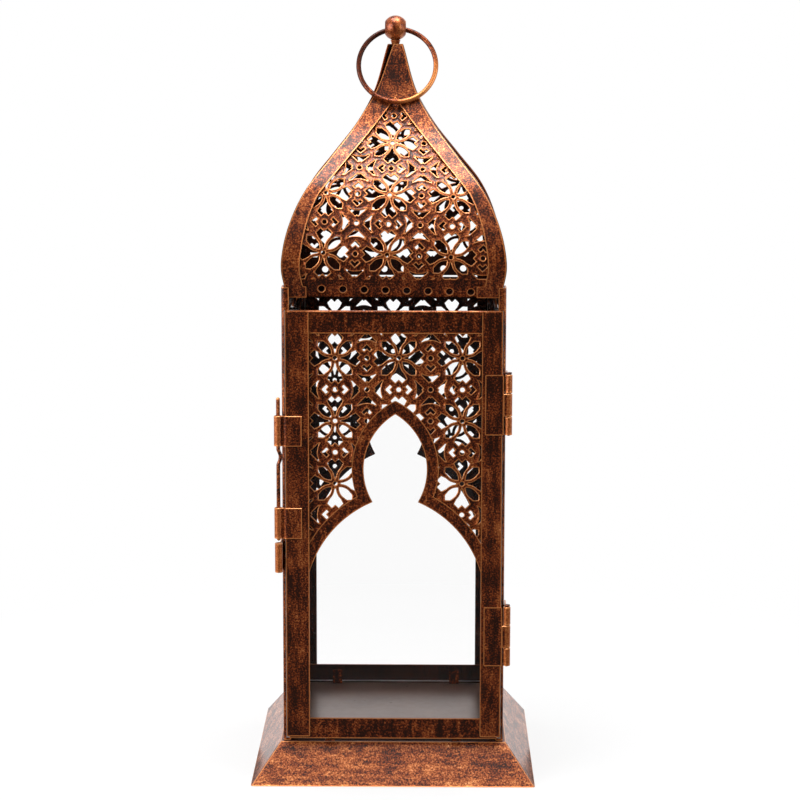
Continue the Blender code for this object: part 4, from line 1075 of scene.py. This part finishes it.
def rolled_strip(name, path, thickness, heights, copper, body, nodes, start_of_roll):
    """A strip bent along the path seen from above, with its faces half a thickness off the path.

    The section is carried up between the two heights, and its end rings are drawn in to round
    the cuts. The strip is rubbed bright from start_of_roll on.
    """
    low, high = heights
    path = np.asarray(path, float)
    length = np.r_[0.0, np.cumsum(np.linalg.norm(np.diff(path, axis=0), axis=1))]
    even = np.linspace(0, length[-1], max(8, int(length[-1] / 0.00022)))
    path = np.stack([np.interp(even, length, path[:, k]) for k in (0, 1)], -1)
    heading = np.gradient(path, axis=0)
    heading /= np.linalg.norm(heading, axis=1)[:, None]
    aside = np.stack([heading[:, 1], -heading[:, 0]], -1) * thickness / 2
    section = np.concatenate([path + aside, (path - aside)[::-1]])
    middle = there_and_back(path)
    between = np.linspace(low, high, max(3, int((high - low) / 0.0007)))[1:-1]
    levels = np.unique(np.r_[low, low + CUT_ROUND, between, high - CUT_ROUND, high])
    drawn = np.where((levels == low) | (levels == high), 0.55, 1.0)[:, None, None]
    rings = middle + (section - middle) * drawn
    rings = np.insert(rings, 2, levels[:, None], axis=-1)
    from_ends = np.minimum(levels - low, high - levels)[:, None]
    from_cut = there_and_back(np.minimum(even, even[-1] - even))
    turned = there_and_back(np.clip((even - start_of_roll) / 0.0012, 0.0, 1.0) * 0.78)
    bare = np.maximum(nearness(np.minimum(from_ends, from_cut)), turned)
    faces = tube_faces(len(levels), len(section))
    piece_of(name, rings.reshape(-1, 3), faces, {"bare": bare}, copper, body, nodes)


def arc(centre, radius, start, end):
    """Points on an arc, by angle in degrees."""
    turn = np.radians(np.linspace(start, end, 28))
    return np.stack([centre[0] + radius * np.cos(turn), centre[1] + radius * np.sin(turn)], -1)


axis = (HINGE_X, HINGE_Y)
to_roll = [(HINGE_X - 0.0020, LEAF_FRONT + LEAF / 2)]
door_roll = np.concatenate([to_roll, arc(axis, KNUCKLE_RADIUS, -90, 215)])
to_roll = [(SIDE_LEAF_MIDDLE, -BODY_HALF + 0.0004), (SIDE_LEAF_MIDDLE, -BODY_HALF - 0.0018)]
body_roll = np.concatenate([to_roll, arc(axis, KNUCKLE_RADIUS, 35, -230)])
for label, low in (("lower", 0.0473), ("upper", 0.1393)):
    high = low + HINGE_HEIGHT
    first, second = low + KNUCKLE_HEIGHT, high - KNUCKLE_HEIGHT
    plain_strip(
        f"{label}_door_leaf", (HINGE_X - 0.0091, HINGE_X - 0.0019, low, high), 0.0004, front,
        LEAF_FRONT + BODY_HALF, LEAF, leaf_copper, "door", [f"hinge_{label}_door_leaf"], back=0.0,
    )
    rolled_strip(
        f"{label}_door_knuckle", door_roll, KNUCKLE_WALL, (first + GAP, second - GAP),
        leaf_copper, "door", [], 0.0001,
    )
    plain_strip(
        f"{label}_body_leaf", (-BODY_HALF + 0.0002, -BODY_HALF + 0.0075, low, high), 0.0004,
        on_wall(1), -GAP - LEAF, LEAF, leaf_copper, "lantern_body",
        [f"hinge_{label}_body_leaf"], back=0.0,
    )
    for end, heights in (("a", (low, first)), ("b", (second, high))):
        rolled_strip(
            f"{label}_body_knuckle_{end}", body_roll, KNUCKLE_WALL, heights,
            leaf_copper, "lantern_body", [], 0.0008,
        )
    finish(f"hinge_{label}_pin", leaf_copper)

# Latch: two guides rolled like the knuckles from tabs on the left stile, a keeper rolled on the
# body's side, and a bolt of bent wire that drops through all three. It is drawn lifted here,
# out of the keeper.
LATCH_X = -BODY_HALF - 0.0012
LATCH_Y = LEAF_FRONT + 0.00165
GUIDE_RADIUS = 0.00142
KEEPER_RADIUS = 0.00130
BOLT_RADIUS = 0.0008
BOLT_LIFT = 0.0166
BOLT_RINGS = 120
BOLT_SIDES = 14
BEND_FROM = 0.1105
BEND_LENGTH = 0.0062
BEND = 0.0009
guide_copper = rubbed_copper("guide_copper", 0.20)
axis = (LATCH_X, LATCH_Y)
to_roll = np.array(
    [(0.0092, 0.0), (0.0034, 0.0), (0.0028, 0.0001), (0.0023, 0.0006), (0.0019, 0.0009)]
)
to_roll += (LATCH_X, LEAF_FRONT + LEAF / 2)
roll = np.concatenate([to_roll, arc(axis, GUIDE_RADIUS, -28, -345)])
for label, heights in (("upper", (0.1346, 0.1465)), ("lower", (0.0980, 0.1102))):
    nodes = [f"latch_{label}_guide"]
    rolled_strip(f"{label}_bolt_guide", roll, 0.0005, heights, guide_copper, "door", nodes, 0.0078)
to_roll = [(-SIDE_LEAF_MIDDLE, LATCH_Y + 0.0131), (-SIDE_LEAF_MIDDLE, LATCH_Y + 0.0019)]
roll = np.concatenate([to_roll, arc(axis, KEEPER_RADIUS, 150, 410)])
rolled_strip(
    "bolt_keeper", roll, 0.00045, (0.0844, 0.0961),
    guide_copper, "lantern_body", ["latch_keeper"], 0.0100,
)

height = np.linspace(0.0803, 0.1372, BOLT_RINGS)
bend = BEND * np.sin(np.clip((height - BEND_FROM) / BEND_LENGTH, 0.0, 1.0) * math.pi) ** 1.5
from_tip = np.minimum(height - height[0], height[-1] - height) / BOLT_RADIUS
girth = BOLT_RADIUS * 0.97 * rounded_girth(from_tip, 0.0004)
around = np.arange(BOLT_SIDES) * 2 * math.pi / BOLT_SIDES
x = LATCH_X + bend[:, None] + girth * np.cos(around)
y = LATCH_Y + girth * np.sin(around)
z = np.broadcast_to(height[:, None] + BOLT_LIFT, x.shape)
piece_of(
    "bolt_wire",
    np.stack([x, y, z], -1).reshape(-1, 3),
    tube_faces(BOLT_RINGS, BOLT_SIDES),
    {"bare": np.repeat(np.clip(1.2 - from_tip * 0.3, 0.0, 1.0), BOLT_SIDES)},
    rubbed_copper("bolt_copper", 0.22, 0.15),
    "bolt",
    ["latch_bolt"],
)
